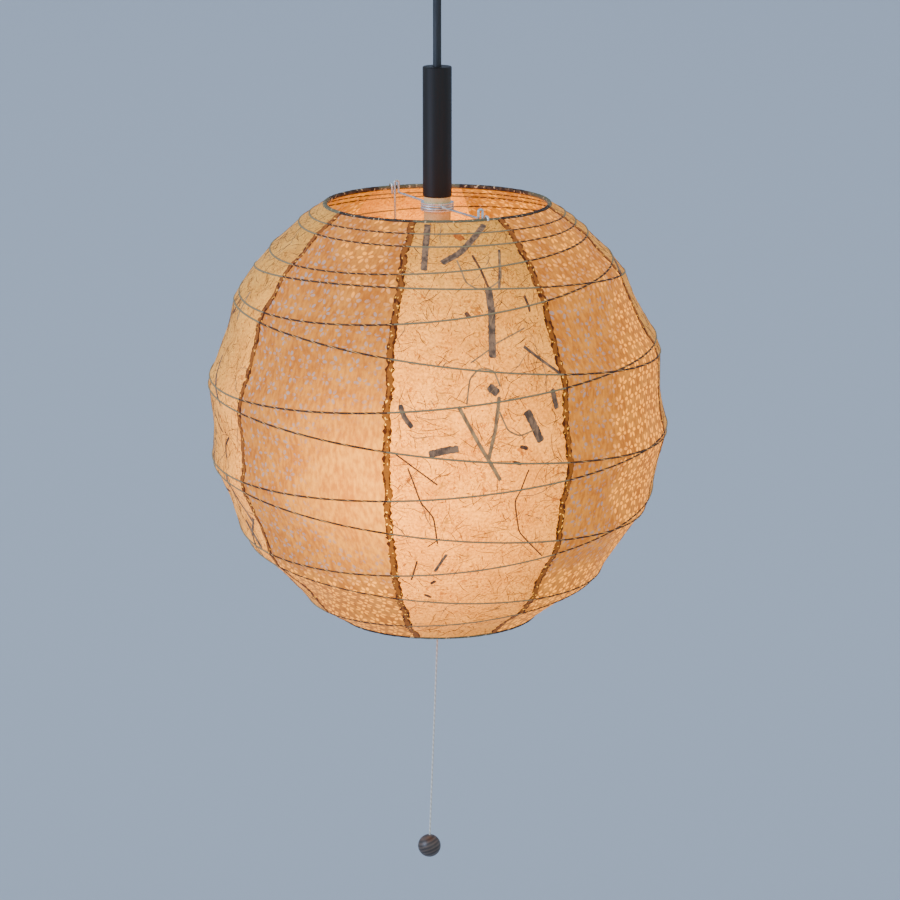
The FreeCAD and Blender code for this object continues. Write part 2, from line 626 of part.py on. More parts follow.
hoopSteps = 24
for i, (share, sideways, backwards) in enumerate(ribs, start=1):
    rise = share * (v["topRingRise"] if share > 0 else -v["bottomRingRise"])
    uphill = Vector(math.tan(math.radians(sideways)), math.tan(math.radians(backwards)), 0)
    layer = v["paperWall"] + v["ribGap"] + v["ribWire"]
    if i % 2 == 0:
        layer += 2 * v["ribWire"] + v["ribGap"]
    rim = [hoopPoint(rise, uphill, 2 * math.pi * k / hoopSteps, layer) for k in range(hoopSteps)]
    centre = (rim[0] + rim[hoopSteps // 2]) / 2
    rib = doc.addObject("Part::Torus", "Rib%d" % i)
    rib.Radius1 = min((point - centre).Length for point in rim)
    rib.setExpression("Radius2", "Sizes.ribWire")
    rib.Placement = Placement(centre - Vector(0, 0, v["globeDrop"]),
                              Rotation(Vector(0, 0, 1), Vector(-uphill.x, -uphill.y, 1)))
    keep(rib, "rib_%02d" % i)

# Stretcher frame: two wire legs clamped on the neck, and the clips that hook over the top ring.

wireClear = 0.3
standOff = v["ringWire"] + v["frameWire"] + wireClear
eyeRadius = v["neckRadius"] + v["eyeGap"] + v["frameWire"]
armStart = eyeRadius + 7.7
side = v["loopWidth"] / 2
for name, azimuth, eyeRise, armRise, loopRise in (
        ("frame_leg_front", v["frameAzimuth"], upperEye, v["topRingRise"] + 2.6, 9.5),
        ("frame_leg_rear", v["frameAzimuth"] + 180, lowerEye, v["topRingRise"] - 3.4, 7)):
    inside = v["topRingRadius"] - standOff
    foot = v["bottomRingRadius"] - standOff
    footRise = v["bottomRingRise"] + v["ringWire"] + v["frameWire"] + 0.1
    eye = Part.makeTorus(eyeRadius, v["frameWire"], Vector(0, 0, eyeRise))
    leg = bentWire([
        Vector(eyeRadius, -side, eyeRise), Vector(armStart, -side, eyeRise),
        Vector(inside, -side, armRise), Vector(inside, -side, v["topRingRise"] + loopRise),
        Vector(inside, side, v["topRingRise"] + loopRise),
        Vector(foot, side, footRise), Vector(v["bottomRingRadius"] + 1.6, side, footRise)],
        v["wireBend"], v["frameWire"])
    frameLeg = eye.fuse(leg)
    frameLeg.Placement = Placement(Vector(0, 0, -v["globeDrop"]),
                                   Rotation(Vector(0, 0, 1), bearing(azimuth)))
    shaped(name, frameLeg)

clips = []
clipSide = side + 2 * v["frameWire"] + wireClear
clipInside = v["topRingRadius"] - standOff
clipOutside = v["topRingRadius"] + ringSeat + v["frameWire"] + wireClear
clipTop = v["topRingRise"] + 4.2
clipWire = 0.9 * v["frameWire"]
for azimuth in (v["frameAzimuth"], v["frameAzimuth"] + 180):
    clip = bentWire([
        Vector(clipInside, clipSide, v["topRingRise"] - 4), Vector(clipInside, clipSide, clipTop),
        Vector(clipOutside, clipSide, clipTop),
        Vector(clipOutside, clipSide, v["topRingRise"] + 1.4)], v["wireBend"], clipWire)
    clip.Placement = Placement(Vector(0, 0, -v["globeDrop"]),
                               Rotation(Vector(0, 0, 1), bearing(azimuth)))
    clips.append(clip)
shaped("ring_clips", Part.makeCompound(clips))

# Checks and export.

doc.recompute()
for obj in doc.Objects:
    if "Invalid" in obj.State or "Error" in obj.State:
        raise RuntimeError("failed feature: %s %s" % (obj.Name, obj.State))
for node in nodes:
    if node.Shape.isNull() or not node.Shape.isValid() or not node.Shape.Solids:
        raise RuntimeError("no valid solid: " + node.Label)
os.makedirs("parts", exist_ok=True)
for node in nodes:
    node.Shape.exportStep("parts/%s.step" % node.Label)
print(len(nodes), "nodes")
print("upper arc %.1f, lower arc %.1f" % (upperArc, lowerArc))
print("power cord %.0f mm, pull cord %.0f mm, both straight" % (
    v["globeDrop"] - v["swingDrop"] - v["neckTop"] + v["neckGrip"], pullLength))
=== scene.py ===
import math

import bpy
import numpy as np
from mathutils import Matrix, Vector, noise


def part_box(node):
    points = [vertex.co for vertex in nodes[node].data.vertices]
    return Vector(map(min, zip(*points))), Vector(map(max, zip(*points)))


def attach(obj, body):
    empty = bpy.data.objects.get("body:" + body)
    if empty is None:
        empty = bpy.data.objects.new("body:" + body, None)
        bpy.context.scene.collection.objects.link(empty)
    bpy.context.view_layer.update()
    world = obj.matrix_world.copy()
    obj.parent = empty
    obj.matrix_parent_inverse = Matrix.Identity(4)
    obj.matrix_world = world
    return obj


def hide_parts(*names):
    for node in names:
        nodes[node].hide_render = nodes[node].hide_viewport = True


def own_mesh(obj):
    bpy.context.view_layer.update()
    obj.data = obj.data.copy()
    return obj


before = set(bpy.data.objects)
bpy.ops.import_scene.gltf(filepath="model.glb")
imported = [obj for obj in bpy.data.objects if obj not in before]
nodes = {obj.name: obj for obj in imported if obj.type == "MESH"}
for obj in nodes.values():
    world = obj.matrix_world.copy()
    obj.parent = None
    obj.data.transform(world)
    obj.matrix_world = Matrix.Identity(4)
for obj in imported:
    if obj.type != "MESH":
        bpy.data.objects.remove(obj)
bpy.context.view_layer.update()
print("frame loaded:", len(nodes), "nodes")

# where things are, read from the frame

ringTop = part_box("top_ring")
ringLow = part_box("bottom_ring")
wireRadius = (ringTop[1][2] - ringTop[0][2]) / 2
topRing = {"radius": ringTop[1][0] - wireRadius, "z": (ringTop[0][2] + ringTop[1][2]) / 2}
lowRing = {"radius": ringLow[1][0] - wireRadius, "z": (ringLow[0][2] + ringLow[1][2]) / 2}
globe = {
    "radius": 0.185,
    "middle": topRing["z"] - 0.165,  # the widest place is this far under the top ring
    "panels": 8,
    "firstSeam": -12,  # degrees from the front, towards +X
    "seat": wireRadius + 0.00075,  # middle of a ring's wire to the paper's face
}


def linear(hexColour):
    # sRGB hex to the linear colour that a socket takes
    out = []
    for i in (1, 3, 5):
        c = int(hexColour[i:i + 2], 16) / 255
        out.append(c / 12.92 if c <= 0.04045 else ((c + 0.055) / 1.055) ** 2.4)
    return (*out, 1.0)


def feed(tree, node, inputs):
    # an input, by name or number, takes a value, a hex colour, a socket or a node's first output in use
    for key, source in inputs.items():
        if isinstance(source, bpy.types.Node):
            source = next(output for output in source.outputs if output.enabled)
        if isinstance(source, bpy.types.NodeSocket):
            tree.links.new(source, node.inputs[key])
        else:
            value = linear(source) if isinstance(source, str) else source
            node.inputs[key].default_value = value


def addNode(tree, kind, inputs=None, **settings):
    # a node's numbered inputs run from 0: a map range's are value, from min, from max, to min, to max
    node = tree.nodes.new(kind)
    for key, value in settings.items():
        setattr(node, key, value)
    feed(tree, node, inputs or {})
    return node


def linked(piece):
    bpy.context.scene.collection.objects.link(piece)
    return piece


# camera, light and backdrop

view = {"distance": 2.6, "elevation": 13.0, "focal": 128.96, "aimX": 0.0101, "aimZ": -0.4256}


def makeCamera():
    data = bpy.data.cameras.new("camera")
    data.lens = view["focal"]
    data.sensor_width = 36
    data.clip_end = 50
    camera = linked(bpy.data.objects.new("camera", data))
    tilt = math.radians(view["elevation"])
    middle = Vector((0, 0, globe["middle"]))
    camera.location = middle + Vector((0, -math.cos(tilt), math.sin(tilt))) * view["distance"]
    aim = Vector((view["aimX"], 0, view["aimZ"]))
    camera.rotation_euler = (aim - camera.location).to_track_quat("-Z", "Y").to_euler()
    bpy.context.scene.camera = camera


studio = {
    "sky": "#b0bdcc", "skyStrength": 1.74,
    "backdrop": "#bcc3cd", "floorZ": -2.4, "wallY": 5.0, "bend": 2.0, "bendSteps": 24,
    "half": 9.0, "height": 7.0,
    "areas": {"window": {"place": (-2.4, -1.6, 0.5), "side": 1.8, "power": 80, "colour": "#c2d8ff"},
              "fill": {"place": (1.9, -2.4, 0.2), "side": 1.8, "power": 7, "colour": "#efece8"}},
}


def makeAreas():
    for name, look in studio["areas"].items():
        data = bpy.data.lights.new(name, "AREA")
        data.shape = "SQUARE"
        data.size = look["side"]
        data.energy = look["power"]
        data.color = linear(look["colour"])[:3]
        light = linked(bpy.data.objects.new(name, data))
        light.location = look["place"]
        aim = Vector((0, 0, globe["middle"])) - light.location
        light.rotation_euler = aim.to_track_quat("-Z", "Y").to_euler()


def makeBackdrop():
    # floor and wall in one sheet with a round bend between them
    low, back, bend, half = studio["floorZ"], studio["wallY"], studio["bend"], studio["half"]
    profile = [(-half, low)]
    for k in range(studio["bendSteps"] + 1):
        turn = math.pi / 2 * k / studio["bendSteps"]
        profile.append((back - bend + bend * math.sin(turn), low + bend - bend * math.cos(turn)))
    profile.append((back, low + studio["height"]))
    places = [(x, y, z) for y, z in profile for x in (-half, half)]
    faces = [(2 * k, 2 * k + 1, 2 * k + 3, 2 * k + 2) for k in range(len(profile) - 1)]
    mesh = bpy.data.meshes.new("backdrop")
    mesh.from_pydata(places, [], faces)
    mesh.shade_smooth()
    backdrop = linked(bpy.data.objects.new("backdrop", mesh))
    material = bpy.data.materials.new("matt pale paper sweep")
    material.use_nodes = True
    tree = material.node_tree
    feed(tree, tree.nodes["Principled BSDF"], {"Base Color": studio["backdrop"], "Roughness": 0.9})
    mesh.materials.append(material)


def makeStudio():
    world = bpy.data.worlds.new("studio")
    bpy.context.scene.world = world
    world.use_nodes = True
    tree = world.node_tree
    feed(tree, tree.nodes["Background"], {"Color": studio["sky"], "Strength": studio["skyStrength"]})
    makeAreas()
    makeBackdrop()


makeCamera()
makeStudio()
print("camera and studio made")

# cords: the power cord hangs straight, the pull cord leans a little

powerCord = {"radius": 0.0033, "exit": (0, 0, -0.049), "length": 0.182,
             "points": [(0, 0, -0.036), (0, 0, -0.100), (0, 0, -0.160), (0, 0, -0.218)]}
pullCord = {"radius": 0.0007, "length": 0.471, "azimuth": 17, "reach": 0.036, "top": -0.2865,
            "beadX": -0.007, "beadZ": -0.752, "seat": 0.0008}


def cordCurve(name, points, radius):
    data = bpy.data.curves.new(name, "CURVE")
    data.dimensions = "3D"
    data.bevel_depth = 1.0  # the points carry the radius, which keeps the curve's box tight
    data.bevel_resolution = 5
    data.use_fill_caps = True
    data.resolution_u = 12
    spline = data.splines.new("NURBS")
    spline.points.add(len(points) - 1)
    for point, place in zip(spline.points, points):
        point.co = (*place, 1)
        point.radius = radius
    spline.order_u = 3
    spline.use_endpoint_u = True
    return linked(bpy.data.objects.new(name, data))


def makePowerCord():
    piece = cordCurve("power_cord_jacket", powerCord["points"], powerCord["radius"])
    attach(piece, "pendant")
    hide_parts("power_cord")
    return piece


def makePullCord():
    turn = math.radians(pullCord["azimuth"])
    top = Vector((pullCord["reach"] * math.sin(turn), -pullCord["reach"] * math.cos(turn),
                  pullCord["top"]))
    line = (Vector((pullCord["beadX"], top.y, pullCord["beadZ"])) - top).normalized()
    start = top + line * pullCord["seat"]
    points = [tuple(start + line * pullCord["length"] * share) for share in (0, 0.3, 0.65, 1)]
    piece = cordCurve("pull_cord_braid", points, pullCord["radius"])
    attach(piece, "pull_cord")
    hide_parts("pull_cord")
    return piece


powerPiece = makePowerCord()
pullPiece = makePullCord()
print("cords made")

# finishes: one material per real finish, patterns sized in millimetres

millimetre = 0.001


def grain(tree, source, size, stretch=(1, 1, 1), detail=3.0, distortion=0.0):
    # noise whose blotches are size millimetres wide, drawn out along an axis by its stretch
    scale = [1 / (size * millimetre * s) for s in stretch]
    placed = addNode(tree, "ShaderNodeMapping", {"Vector": source, "Scale": scale})
    return addNode(tree, "ShaderNodeTexNoise", {"Vector": placed, "Scale": 1.0, "Detail": detail,
                                                "Roughness": 0.55, "Distortion": distortion})


def clouded(tree, first, second, weight, spread, dark, light):
    # a dark and a light colour spread by two grains that are weighed together
    rest = addNode(tree, "ShaderNodeMath", {0: second, 1: 1 - weight}, operation="MULTIPLY")
    total = addNode(tree, "ShaderNodeMath", {0: first, 1: weight, 2: rest}, operation="MULTIPLY_ADD")
    share = addNode(tree, "ShaderNodeMapRange", {"Value": total, 1: 0.5 - spread, 2: 0.5 + spread},
                    interpolation_type="SMOOTHSTEP")
    return addNode(tree, "ShaderNodeMix", {"Factor": share, "A": dark, "B": light}, data_type="RGBA")


def blotched(tree, colour, tone, pattern, low, high, weight):
    # a tone laid over a colour where the pattern is strong
    share = addNode(tree, "ShaderNodeMapRange", {"Value": pattern, 1: low, 2: high, 4: weight},
                    interpolation_type="SMOOTHSTEP")
    return addNode(tree, "ShaderNodeMix", {"Factor": share, "A": colour, "B": tone}, data_type="RGBA")


def newFinish(name):
    material = bpy.data.materials.new(name)
    material.use_nodes = True
    tree = material.node_tree
    place = addNode(tree, "ShaderNodeTexCoord").outputs["Object"]
    return material, tree, tree.nodes["Principled BSDF"], place


def grainedFinish(name, look):
    # two close colours, a spread of roughness and a shallow relief from the same grain
    material, tree, shader, place = newFinish(name)
    stretch = look.get("stretch", (1, 1, 1))
    coarse = grain(tree, place, look["blotch"], stretch)
    fine = grain(tree, place, look["grain"], stretch, detail=2.0)
    smooth, rough = look["roughness"]
    feed(tree, shader, {
        "Base Color": clouded(tree, coarse, fine, 0.6, 0.12, look["dark"], look["light"]),
        "Roughness": addNode(tree, "ShaderNodeMapRange", {"Value": fine, 1: 0.35, 2: 0.65, 3: smooth,
                                                          4: rough}, interpolation_type="SMOOTHSTEP"),
        "Metallic": look.get("metallic", 0.0),
        "IOR": look.get("ior", 1.5),
        "Coat Weight": look.get("coat", 0.0),
        "Coat Roughness": 0.25,
        "Normal": addNode(tree, "ShaderNodeBump",
                          {"Height": fine, "Distance": look["relief"] * millimetre}),
    })
    return material


looks = {
    # bright zinc over steel: cool grey, with faint spangle and soft reflections
    "zinc plated sheet": {"dark": "#bcc8ca", "light": "#eef5f3", "metallic": 0.7, "blotch": 3,
                          "grain": 0.5, "roughness": (0.22, 0.4), "relief": 0.01},
    # drawn galvanised wire: fine lines along it, a little duller than the washers
    "galvanised wire": {"dark": "#a9b4b5", "light": "#e2eae8", "metallic": 0.7, "blotch": 6,
                        "grain": 0.4, "stretch": (1, 1, 3), "roughness": (0.28, 0.45), "relief": 0.02},
    # hardened spring steel: dark even grey with a tight shine
    "spring steel": {"dark": "#565a60", "light": "#84888d", "metallic": 1.0, "blotch": 2,
                     "grain": 0.3, "roughness": (0.25, 0.4), "relief": 0.005},
    # moulded phenolic resin, stained dark brown: faint mottling under a low gloss
    "brown moulded resin": {"dark": "#2a211b", "light": "#3a2e25", "ior": 1.6, "blotch": 9,
                            "grain": 0.6, "roughness": (0.34, 0.5), "coat": 0.1, "relief": 0.01},
    # ivory urea resin: warm, slightly cloudy, even gloss
    "ivory urea resin": {"dark": "#c9aa6c", "light": "#dcc28a", "ior": 1.55, "blotch": 12,
                         "grain": 0.8, "roughness": (0.3, 0.42), "coat": 0.15, "relief": 0.01},
    # rolled brass contacts: warm yellow, with a little tarnish
    "contact brass": {"dark": "#9b7a3a", "light": "#d1ab5c", "metallic": 1.0, "blotch": 3,
                      "grain": 0.4, "roughness": (0.25, 0.42), "relief": 0.01},
    # soft black cord jacket: matt, with fine scuffs along it
    "black cord jacket": {"dark": "#15181b", "light": "#282c30", "ior": 1.5, "blotch": 5,
                          "grain": 0.7, "stretch": (1, 1, 6), "roughness": (0.5, 0.68),
                          "relief": 0.03},
    # spun aluminium screw cap: pale, with fine lines round it
    "aluminium cap": {"dark": "#a6a6a2", "light": "#cfcfca", "metallic": 1.0, "blotch": 3,
                      "grain": 0.4, "stretch": (6, 6, 1), "roughness": (0.28, 0.42), "relief": 0.02},
    # black lacquered ring wire: chipped dull in places
    "lacquered ring wire": {"dark": "#3b3630", "light": "#6d675a", "metallic": 0.6, "blotch": 5,
                            "grain": 0.6, "roughness": (0.4, 0.6), "relief": 0.02},
}
finishes = {name: grainedFinish(name, look) for name, look in looks.items()}


def stainedTubeFinish():
    # dark stained tube: fine upright grain, low polish that gives soft upright stripes
    material, tree, shader, place = newFinish("dark stained tube")
    streak = grain(tree, place, 1.6, (1, 1, 40), detail=4.0)
    broad = grain(tree, place, 6, (1, 1, 14))
    feed(tree, shader, {
        "Base Color": clouded(tree, broad, streak, 0.5, 0.14, "#080605", "#17100c"),
        "Roughness": addNode(tree, "ShaderNodeMapRange", {"Value": streak, 1: 0.3, 2: 0.7, 3: 0.45,
                                                          4: 0.6}, interpolation_type="SMOOTHSTEP"),
        "Specular IOR Level": 0.3,
        "Coat Weight": 0.06,
        "Coat Roughness": 0.3,
        "Normal": addNode(tree, "ShaderNodeBump", {"Height": streak, "Distance": 0.06 * millimetre}),
    })
    return material


def beadFinish():
    # turned hardwood bead, stained nearly black: curved grain and open pores under an oil polish
    material, tree, shader, place = newFinish("oiled dark bead wood")
    turned = addNode(tree, "ShaderNodeMapping", {"Vector": place, "Rotation": (0.5, 0.35, 0.2)})
    rings = addNode(tree, "ShaderNodeTexWave",
                    {"Vector": turned, "Scale": 1 / (9 * millimetre), "Distortion": 3.0,
                     "Detail": 3.0, "Detail Scale": 0.4}, wave_type="RINGS").outputs["Fac"]
    pores = grain(tree, turned, 0.9, (1, 1, 5))
    poreShare = addNode(tree, "ShaderNodeMath", {0: pores, 1: 0.3}, operation="MULTIPLY")
    share = addNode(tree, "ShaderNodeMath", {0: rings, 1: 0.7, 2: poreShare}, operation="MULTIPLY_ADD")
    feed(tree, shader, {
        "Base Color": addNode(tree, "ShaderNodeMix", {"Factor": share, "A": "#241d19", "B": "#5b4a3f"},
                              data_type="RGBA"),
        "Roughness": addNode(tree, "ShaderNodeMapRange", {"Value": pores, 1: 0.3, 2: 0.7, 3: 0.34,
                                                          4: 0.55}, interpolation_type="SMOOTHSTEP"),
        "Coat Weight": 0.15,
        "Coat Roughness": 0.3,
        "Normal": addNode(tree, "ShaderNodeBump", {"Height": pores, "Distance": 0.05 * millimetre}),
    })
    return material


def stringFinish():
    # braided cotton string, off-white and matt: the braid is drawn coarser than life, so that it shows
    material, tree, shader, place = newFinish("braided cotton string")
    braid = addNode(tree, "ShaderNodeTexWave",
                    {"Vector": place, "Scale": 1 / (7 * millimetre), "Distortion": 1.0},
                    wave_type="BANDS", bands_direction="DIAGONAL").outputs["Fac"]
    share = addNode(tree, "ShaderNodeMath", {0: braid, 1: grain(tree, place, 0.5)},
                    operation="MULTIPLY")
    feed(tree, shader, {
        "Base Color": addNode(tree, "ShaderNodeMix", {"Factor": share, "A": "#b7b1a2", "B": "#f0ece0"},
                              data_type="RGBA"),
        "Roughness": 0.85,
        "Sheen Weight": 0.3,
        "Normal": addNode(tree, "ShaderNodeBump", {"Height": braid, "Distance": 0.15 * millimetre}),
    })
    return material


def litGlassFinish(name, strength, colour, edge):
    # opal glass with the light on: even warm white, a little yellower where it is thicker
    material, tree, shader, place = newFinish(name)
    cloud = grain(tree, place, 16)
    glowing = addNode(tree, "ShaderNodeMix", {"Factor": cloud, "A": edge, "B": colour},
                      data_type="RGBA")
    level = addNode(tree, "ShaderNodeMapRange",
                    {"Value": cloud, 1: 0.3, 2: 0.7, 3: 0.9 * strength, 4: strength},
                    interpolation_type="SMOOTHSTEP")
    feed(tree, shader, {"Base Color": glowing, "Emission Color": glowing,
                        "Emission Strength": level, "Roughness": 0.3})
    return material


finishes["tube"] = stainedTubeFinish()
finishes["bead"] = beadFinish()
finishes["string"] = stringFinish()
finishes["glass"] = litGlassFinish("lit opal glass", 6.0, "#ffd9a0", "#ffc478")
finishes["filament"] = litGlassFinish("light source", 12.0, "#fff0d2", "#ffdca6")
nodeFinishes = {
    "zinc plated sheet": ("washer_upper", "washer_lower", "ceiling_strap", "canopy_screws",
                          "terminal_screws", "lever_pin", "switch_bracket", "pull_ferrule"),
    "galvanised wire": ("frame_leg_front", "frame_leg_rear", "ring_clips"),
    "spring steel": ("return_spring",),
    "brown moulded resin": ("canopy_cup", "outlet_bush", "bush_nut"),
    "ivory urea resin": ("switch_housing", "collar_nut", "neck_nut", "socket_skirt", "cord_guide",
                         "switch_lever", "socket_disc", "terminal_block", "block_post"),
    "contact brass": ("centre_contact", "contact_blades", "screw_shell"),
    "black cord jacket": ("cord_tail",),
    "aluminium cap": ("bulb_cap",),
    "lacquered ring wire": ("top_ring", "bottom_ring"),
    "tube": ("cover_tube",),
    "bead": ("pull_bead",),
    "string": ("pull_knot",),
    "glass": ("bulb_glass",),
    "filament": ("bulb_emitter",),
}
for finish, wearers in nodeFinishes.items():
    for wearer in wearers:
        for slot in nodes[wearer].material_slots:
            slot.material = finishes[finish]
powerPiece.data.materials.append(finishes["black cord jacket"])
pullPiece.data.materials.append(finishes["string"])
print("fittings dressed")

# the shade's surface: two arcs from ring to ring, with the paper pulled in between its ribs

paper = {
    "thickness": 0.0003,
    "columnStep": 0.0026,
    "rowStep": 0.0019,
    "sag": 0.0032,  # pull-in halfway between two ribs that are sagReach apart
    "sagReach": 0.050,
    "sagMost": 0.0048,
    "crumple": 0.0016,  # height of the soft dents, and how wide they are
    "crumpleSize": 0.034,
    "wrinkle": 0.00034,  # fine cockles of paper that dried on its frame
    "wrinkleSize": 0.009,
    "leastGap": 0.0012,  # between two ribs where they cross
    "samples": 1200,  # up the meridian, to find where a rib crosses it
}


def arcRadius(ring):
    inward = globe["radius"] - ring["radius"]
    rise = ring["z"] - globe["middle"]
    return (inward ** 2 + rise ** 2 - globe["seat"] ** 2) / (2 * (inward - globe["seat"]))


def arcAngle(ring, arc):
    return math.atan2(ring["z"] - globe["middle"], ring["radius"] - globe["radius"] + arc)


upperArc = arcRadius(topRing)
lowerArc = arcRadius(lowRing)
lowLength = -arcAngle(lowRing, lowerArc) * lowerArc
meridian = lowLength + arcAngle(topRing, upperArc) * upperArc


def outline(s):
    # radius, height and slope at a distance s up the meridian from the bottom ring
    along = np.asarray(s, float) - lowLength
    arc = np.where(along > 0, upperArc, lowerArc)
    angle = along / arc
    return globe["radius"] - arc + arc * np.cos(angle), globe["middle"] + arc * np.sin(angle), angle


def alongAt(rise):
    # distance up the meridian of a height above the globe's middle
    rise = np.asarray(rise, float)
    arc = np.where(rise > 0, upperArc, lowerArc)
    return lowLength + arc * np.arcsin(rise / arc)


def ribPlane(name):
    mesh = nodes[name].data
    places = np.empty(len(mesh.vertices) * 3)
    mesh.vertices.foreach_get("co", places)
    places = places.reshape(-1, 3)
    centre = places.mean(axis=0)
    upright = np.linalg.svd(places - centre, full_matrices=False)[2][2]
    return centre, upright * np.sign(upright[2])


ribNames = sorted(name for name in nodes if name.startswith("rib_"))
tableStep = 0.5  # degrees
tableAngles = np.arange(0, 360 + tableStep, tableStep)


def ribRow(name):
    # where one rib crosses each meridian, as a distance up from the bottom ring
    centre, upright = ribPlane(name)
    s = np.linspace(0, meridian, paper["samples"])
    radius, z = outline(s)[:2]
    row = []
    for azimuth in np.radians(tableAngles):
        side = ((radius * np.sin(azimuth) - centre[0]) * upright[0]
                + (-radius * np.cos(azimuth) - centre[1]) * upright[1]
                + (z - centre[2]) * upright[2])
        row.append(np.interp(0, side, s))
    return row


ribRows = np.array([ribRow(name) for name in ribNames]).T
edgeRows = np.concatenate([np.zeros((len(tableAngles), 1)), np.sort(ribRows, axis=1),
                           np.full((len(tableAngles), 1), meridian)], axis=1)
for k in range(1, edgeRows.shape[1]):
    edgeRows[:, k] = np.maximum(edgeRows[:, k], edgeRows[:, k - 1] + paper["leastGap"])


def fromTable(table, azimuth):
    place = (np.asarray(azimuth, float) % 360) / tableStep
    low = np.floor(place).astype(int)
    share = (place - low)[..., None]
    return table[low] * (1 - share) + table[np.minimum(low + 1, len(table) - 1)] * share


def softNoise(places, size):
    flat = places.reshape(-1, 3) / size
    return np.array([noise.noise(Vector(p)) for p in flat]).reshape(places.shape[:-1])


def onPaper(azimuth, s, lift=0.0):
    # points on the paper's outer face, raised by lift; azimuth in degrees
    azimuth, s, lift = np.broadcast_arrays(azimuth, s, lift)
    edges = fromTable(edgeRows, azimuth)
    k = np.clip((edges <= s[..., None]).sum(axis=-1) - 1, 0, edges.shape[-1] - 2)
    low = np.take_along_axis(edges, k[..., None], axis=-1)[..., 0]
    high = np.take_along_axis(edges, k[..., None] + 1, axis=-1)[..., 0]
    gap = high - low
    share = np.clip((s - low) / gap, 0, 1)
    bow = 4 * share * (1 - share)
    radius, z, angle = outline(s)
    turn = np.radians(azimuth)
    plain = np.stack([radius * np.sin(turn), -radius * np.cos(turn), z], axis=-1)
    depth = np.minimum(paper["sag"] * (gap / paper["sagReach"]) ** 2, paper["sagMost"]) * bow
    loose = np.minimum(gap / paper["sagReach"], 1) * bow
    depth = depth + paper["crumple"] * softNoise(plain, paper["crumpleSize"]) * loose
    depth = depth + paper["wrinkle"] * softNoise(plain * [1, 1, 0.6], paper["wrinkleSize"]) \
        * (0.35 + 0.65 * bow)
    out = radius + (lift - depth) * np.cos(angle)
    return np.stack([out * np.sin(turn), -out * np.cos(turn), z + (lift - depth) * np.sin(angle)],
                    axis=-1)


def seamAt(index):
    return globe["firstSeam"] + index * 360 / globe["panels"]


def meshFrom(name, places, faces, flat=None):
    mesh = bpy.data.meshes.new(name)
    mesh.from_pydata(np.asarray(places).reshape(-1, 3).tolist(), [], faces)
    if flat is not None:
        layer = mesh.uv_layers.new(name="flat")
        corners = np.empty(len(mesh.loops), dtype=np.int32)
        mesh.loops.foreach_get("vertex_index", corners)
        layer.data.foreach_set("uv", np.asarray(flat).reshape(-1, 2)[corners].astype(np.float32).ravel())
    mesh.shade_smooth()
    return mesh


def folds(piece, replaced=()):
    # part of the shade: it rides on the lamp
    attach(piece, "pendant")
    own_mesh(piece)
    if replaced:
        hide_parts(*replaced)


rowsBetween = np.maximum(4, np.round(np.diff(edgeRows, axis=1).mean(axis=0)
                                     / paper["rowStep"])).astype(int)
rowKeys = [(k, j / count) for k, count in enumerate(rowsBetween) for j in range(count)]
rowKeys.append((len(rowsBetween) - 1, 1.0))
rowEdge = np.array([k for k, share in rowKeys])
rowShare = np.array([share for k, share in rowKeys])


def panelMesh(name, start, outside, inside):
    # a sheet with its real thickness: outer face, inner face and a narrow edge all round
    sweep = 360 / globe["panels"]
    columns = round(math.radians(sweep) * globe["radius"] / paper["columnStep"]) + 1
    azimuth = np.linspace(start, start + sweep, columns)[:, None]
    edges = fromTable(edgeRows, azimuth[:, 0])
    s = edges[:, rowEdge] * (1 - rowShare) + edges[:, rowEdge + 1] * rowShare
    azimuth = np.broadcast_to(azimuth, s.shape)
    radius = outline(s)[0]
    flat = np.stack([np.radians(azimuth - start - sweep / 2) * radius, s], axis=-1)
    outer = onPaper(azimuth, s)
    inner = onPaper(azimuth, s, -paper["thickness"])
    rows = s.shape[1]
    count = columns * rows
    faces = []
    for i in range(columns - 1):
        for k in range(rows - 1):
            a, b = i * rows + k, (i + 1) * rows + k
            faces.append((a, b, b + 1, a + 1))
            faces.append((count + a, count + a + 1, count + b + 1, count + b))
    shells = len(faces)
    for i in range(columns - 1):
        a, b = i * rows, (i + 1) * rows
        faces.append((a, count + a, count + b, b))
        a, b = a + rows - 1, b + rows - 1
        faces.append((a, b, count + b, count + a))
    for k in range(rows - 1):
        faces.append((k, k + 1, count + k + 1, count + k))
        a = (columns - 1) * rows + k
        faces.append((a, count + a, count + a + 1, a + 1))
    mesh = meshFrom(name, np.concatenate([outer.reshape(-1, 3), inner.reshape(-1, 3)]), faces,
                    np.concatenate([flat.reshape(-1, 2), flat.reshape(-1, 2)]))
    mesh.materials.append(outside)
    mesh.materials.append(inside)
    kinds = np.zeros(len(faces), dtype=np.int32)
    kinds[1:shells:2] = 1
    mesh.polygons.foreach_set("material_index", kinds)
    return mesh

# papers: light from the bulb shows through as a warm glow that is strongest by the bulb

glow = {"hotAzimuth": -15, "hotRise": -7}  # where the bulb shows through most, in degrees


